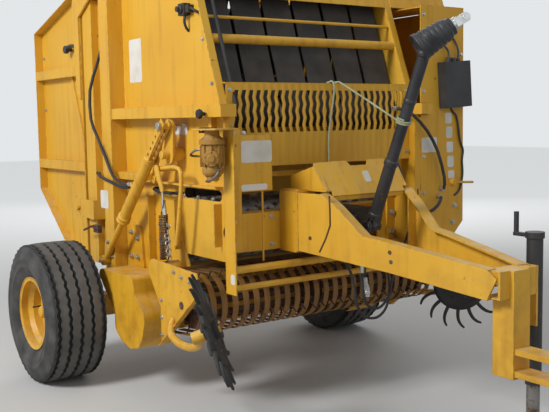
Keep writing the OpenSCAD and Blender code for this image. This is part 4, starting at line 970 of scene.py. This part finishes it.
# Wire lacing that joins the ends of each rear belt, with its pin. LEAN is how far the belts' rear run leans
# forward, as a share of its height.
LEAN = 0.0055


def lace_belts():
    mesh = bmesh.new()
    along = Vector((0, -LEAN, 1)).normalized()
    way = along.cross(Vector(LEFT))
    for i, z in enumerate((1300, 1790, 1520, 1220, 1650, 1400)):
        base = at(-595 + (i + 0.5) * 1190 / 6, 1121.8 - (z - 1080) * LEAN, z)
        for k in range(16):
            spot = base + Vector(((k - 7.5) * 0.0108, 0, 0))
            add_tubes(mesh, [[spot - along * 0.016, spot - along * 0.006 + way * 0.0025,
                              spot + along * 0.006 + way * 0.0025, spot + along * 0.016]], 1.6, sides=1)
        add_rod(mesh, base - Vector((0.086, 0, 0)), base + Vector((0.086, 0, 0)), 2.4, 8)
    show("belt_lacing", mesh, RUST, "tailgate")


lace_belts()


# Slotted rack: the bars between its slots are bent in zigzags and pressed to a ridge. columns is as (x, how
# far it sways, ridge's height).
RACK_Y, RACK_HALF, RACK_SLOTS = -1214, 594.7, 26


def make_rack():
    pitch = 1120 / RACK_SLOTS
    columns = [(-RACK_HALF, 0, 0)]
    for i in range(RACK_SLOTS):
        middle = -560 + (i + 0.5) * pitch
        sway = 9 if i < RACK_SLOTS / 2 else -9
        columns += [(middle - 0.27 * pitch, sway, 0), (middle + 0.27 * pitch, sway, 0),
                    (middle + 0.5 * pitch, sway, 3)]
    columns[-1] = (RACK_HALF, 0, 0)
    rows = [1232] + [1398 + 206 * k / 6 for k in range(7)] + [1642]
    sheet = bmesh.new()
    across, up = len(columns) - 1, len(rows) - 1
    bmesh.ops.create_grid(sheet, x_segments=across, y_segments=up, size=0.5)
    cells = {face: [int((c + 0.5) * n) for c, n in zip(face.calc_center_median(), (across, up))]
             for face in sheet.faces}
    for v in sheet.verts:
        i, j = (round((c + 0.5) * n) for c, n in zip(v.co, (across, up)))
        x, sway, ridge = columns[i]
        slotted = 0 < j < up
        v.co = at(x + sway * (j % 2 - 0.5) * slotted, RACK_Y - ridge * slotted, rows[j])
    slots = [face for face, (i, j) in cells.items() if i % 3 == 1 and 0 < j < up - 1]
    bmesh.ops.delete(sheet, geom=slots, context="FACES")
    backs = bmesh.ops.extrude_face_region(sheet, geom=sheet.faces)["geom"]
    bmesh.ops.translate(sheet, vec=(0, 0.005, 0), verts=corners(backs))
    add_slab(sheet, at(-RACK_HALF, RACK_Y + 1, 1636), at(RACK_HALF, RACK_Y + 40, 1642))
    add_slab(sheet, at(-RACK_HALF, RACK_Y + 1, 1232), at(RACK_HALF, RACK_Y + 60, 1238))
    rack = show("zigzag_rack", sheet, YELLOW, sharp=25)
    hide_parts("rack")


make_rack()


# Floor, lamps and world. LAMPS is as (name, place, target, size in metres, watts).
SKY = "#E9ECEE"
LAMPS = [
    ("key", (-7200, -1500, 5600), (0, -200, 1100), 2.0, 580),
    ("fill", (-500, -9000, 4500), (0, -600, 1100), 6.0, 95),
    ("back", (5500, 6500, 5000), (0, 200, 1300), 6.0, 300),
]


def build_studio():
    floor = bmesh.new()
    bmesh.ops.create_grid(floor, x_segments=1, y_segments=1, size=30)
    mesh = bpy.data.meshes.new("floor")
    floor.to_mesh(mesh)
    floor.free()
    ground = bpy.data.objects.new("floor", mesh)
    bpy.context.scene.collection.objects.link(ground)
    # Smooth concrete: pale and dull, and brighter far off so that it runs into the sky
    material, tree, place = new_surface("pale_floor")
    far = add_node(tree, "ShaderNodeVectorMath", {0: place}, operation="LENGTH").outputs["Value"]
    fade = add_node(tree, "ShaderNodeMapRange",
                    {"Value": far, "From Min": 3.5, "From Max": 11.0, "To Max": 0.55}).outputs[0]
    rays = add_node(tree, "ShaderNodeLightPath", {}).outputs["Is Camera Ray"]
    glow = add_node(tree, "ShaderNodeMath", {0: fade, 1: rays}, operation="MULTIPLY").outputs[0]
    close_surface(tree, {"Base Color": linear("#C9C9C8"), "Roughness": 0.9, "Emission Color": linear(SKY),
                         "Emission Strength": glow})
    mesh.materials.append(material)
    for name, place, target, size, power in LAMPS:
        lamp = bpy.data.objects.new(name, bpy.data.lights.new(name, "AREA"))
        lamp.data.size = size
        lamp.data.energy = power
        lamp.location = at(*place)
        lamp.rotation_euler = (at(*target) - at(*place)).to_track_quat("-Z", "Y").to_euler()
        bpy.context.scene.collection.objects.link(lamp)
    world = bpy.data.worlds.new("studio")
    bpy.context.scene.world = world
    world.use_nodes = True
    tree = world.node_tree
    tree.nodes.clear()
    rays = add_node(tree, "ShaderNodeLightPath", {})
    seen = add_node(tree, "ShaderNodeMath",
                    {0: rays.outputs["Is Camera Ray"], 1: rays.outputs["Is Glossy Ray"]},
                    operation="MAXIMUM").outputs[0]
    strength = add_node(tree, "ShaderNodeMapRange", {"Value": seen, "To Min": 0.34, "To Max": 0.95}).outputs[0]
    sky = add_node(tree, "ShaderNodeBackground", {"Color": linear(SKY), "Strength": strength})
    add_node(tree, "ShaderNodeOutputWorld", {"Surface": sky.outputs[0]})


build_studio()
bpy.context.scene.view_settings.view_transform = "Standard"
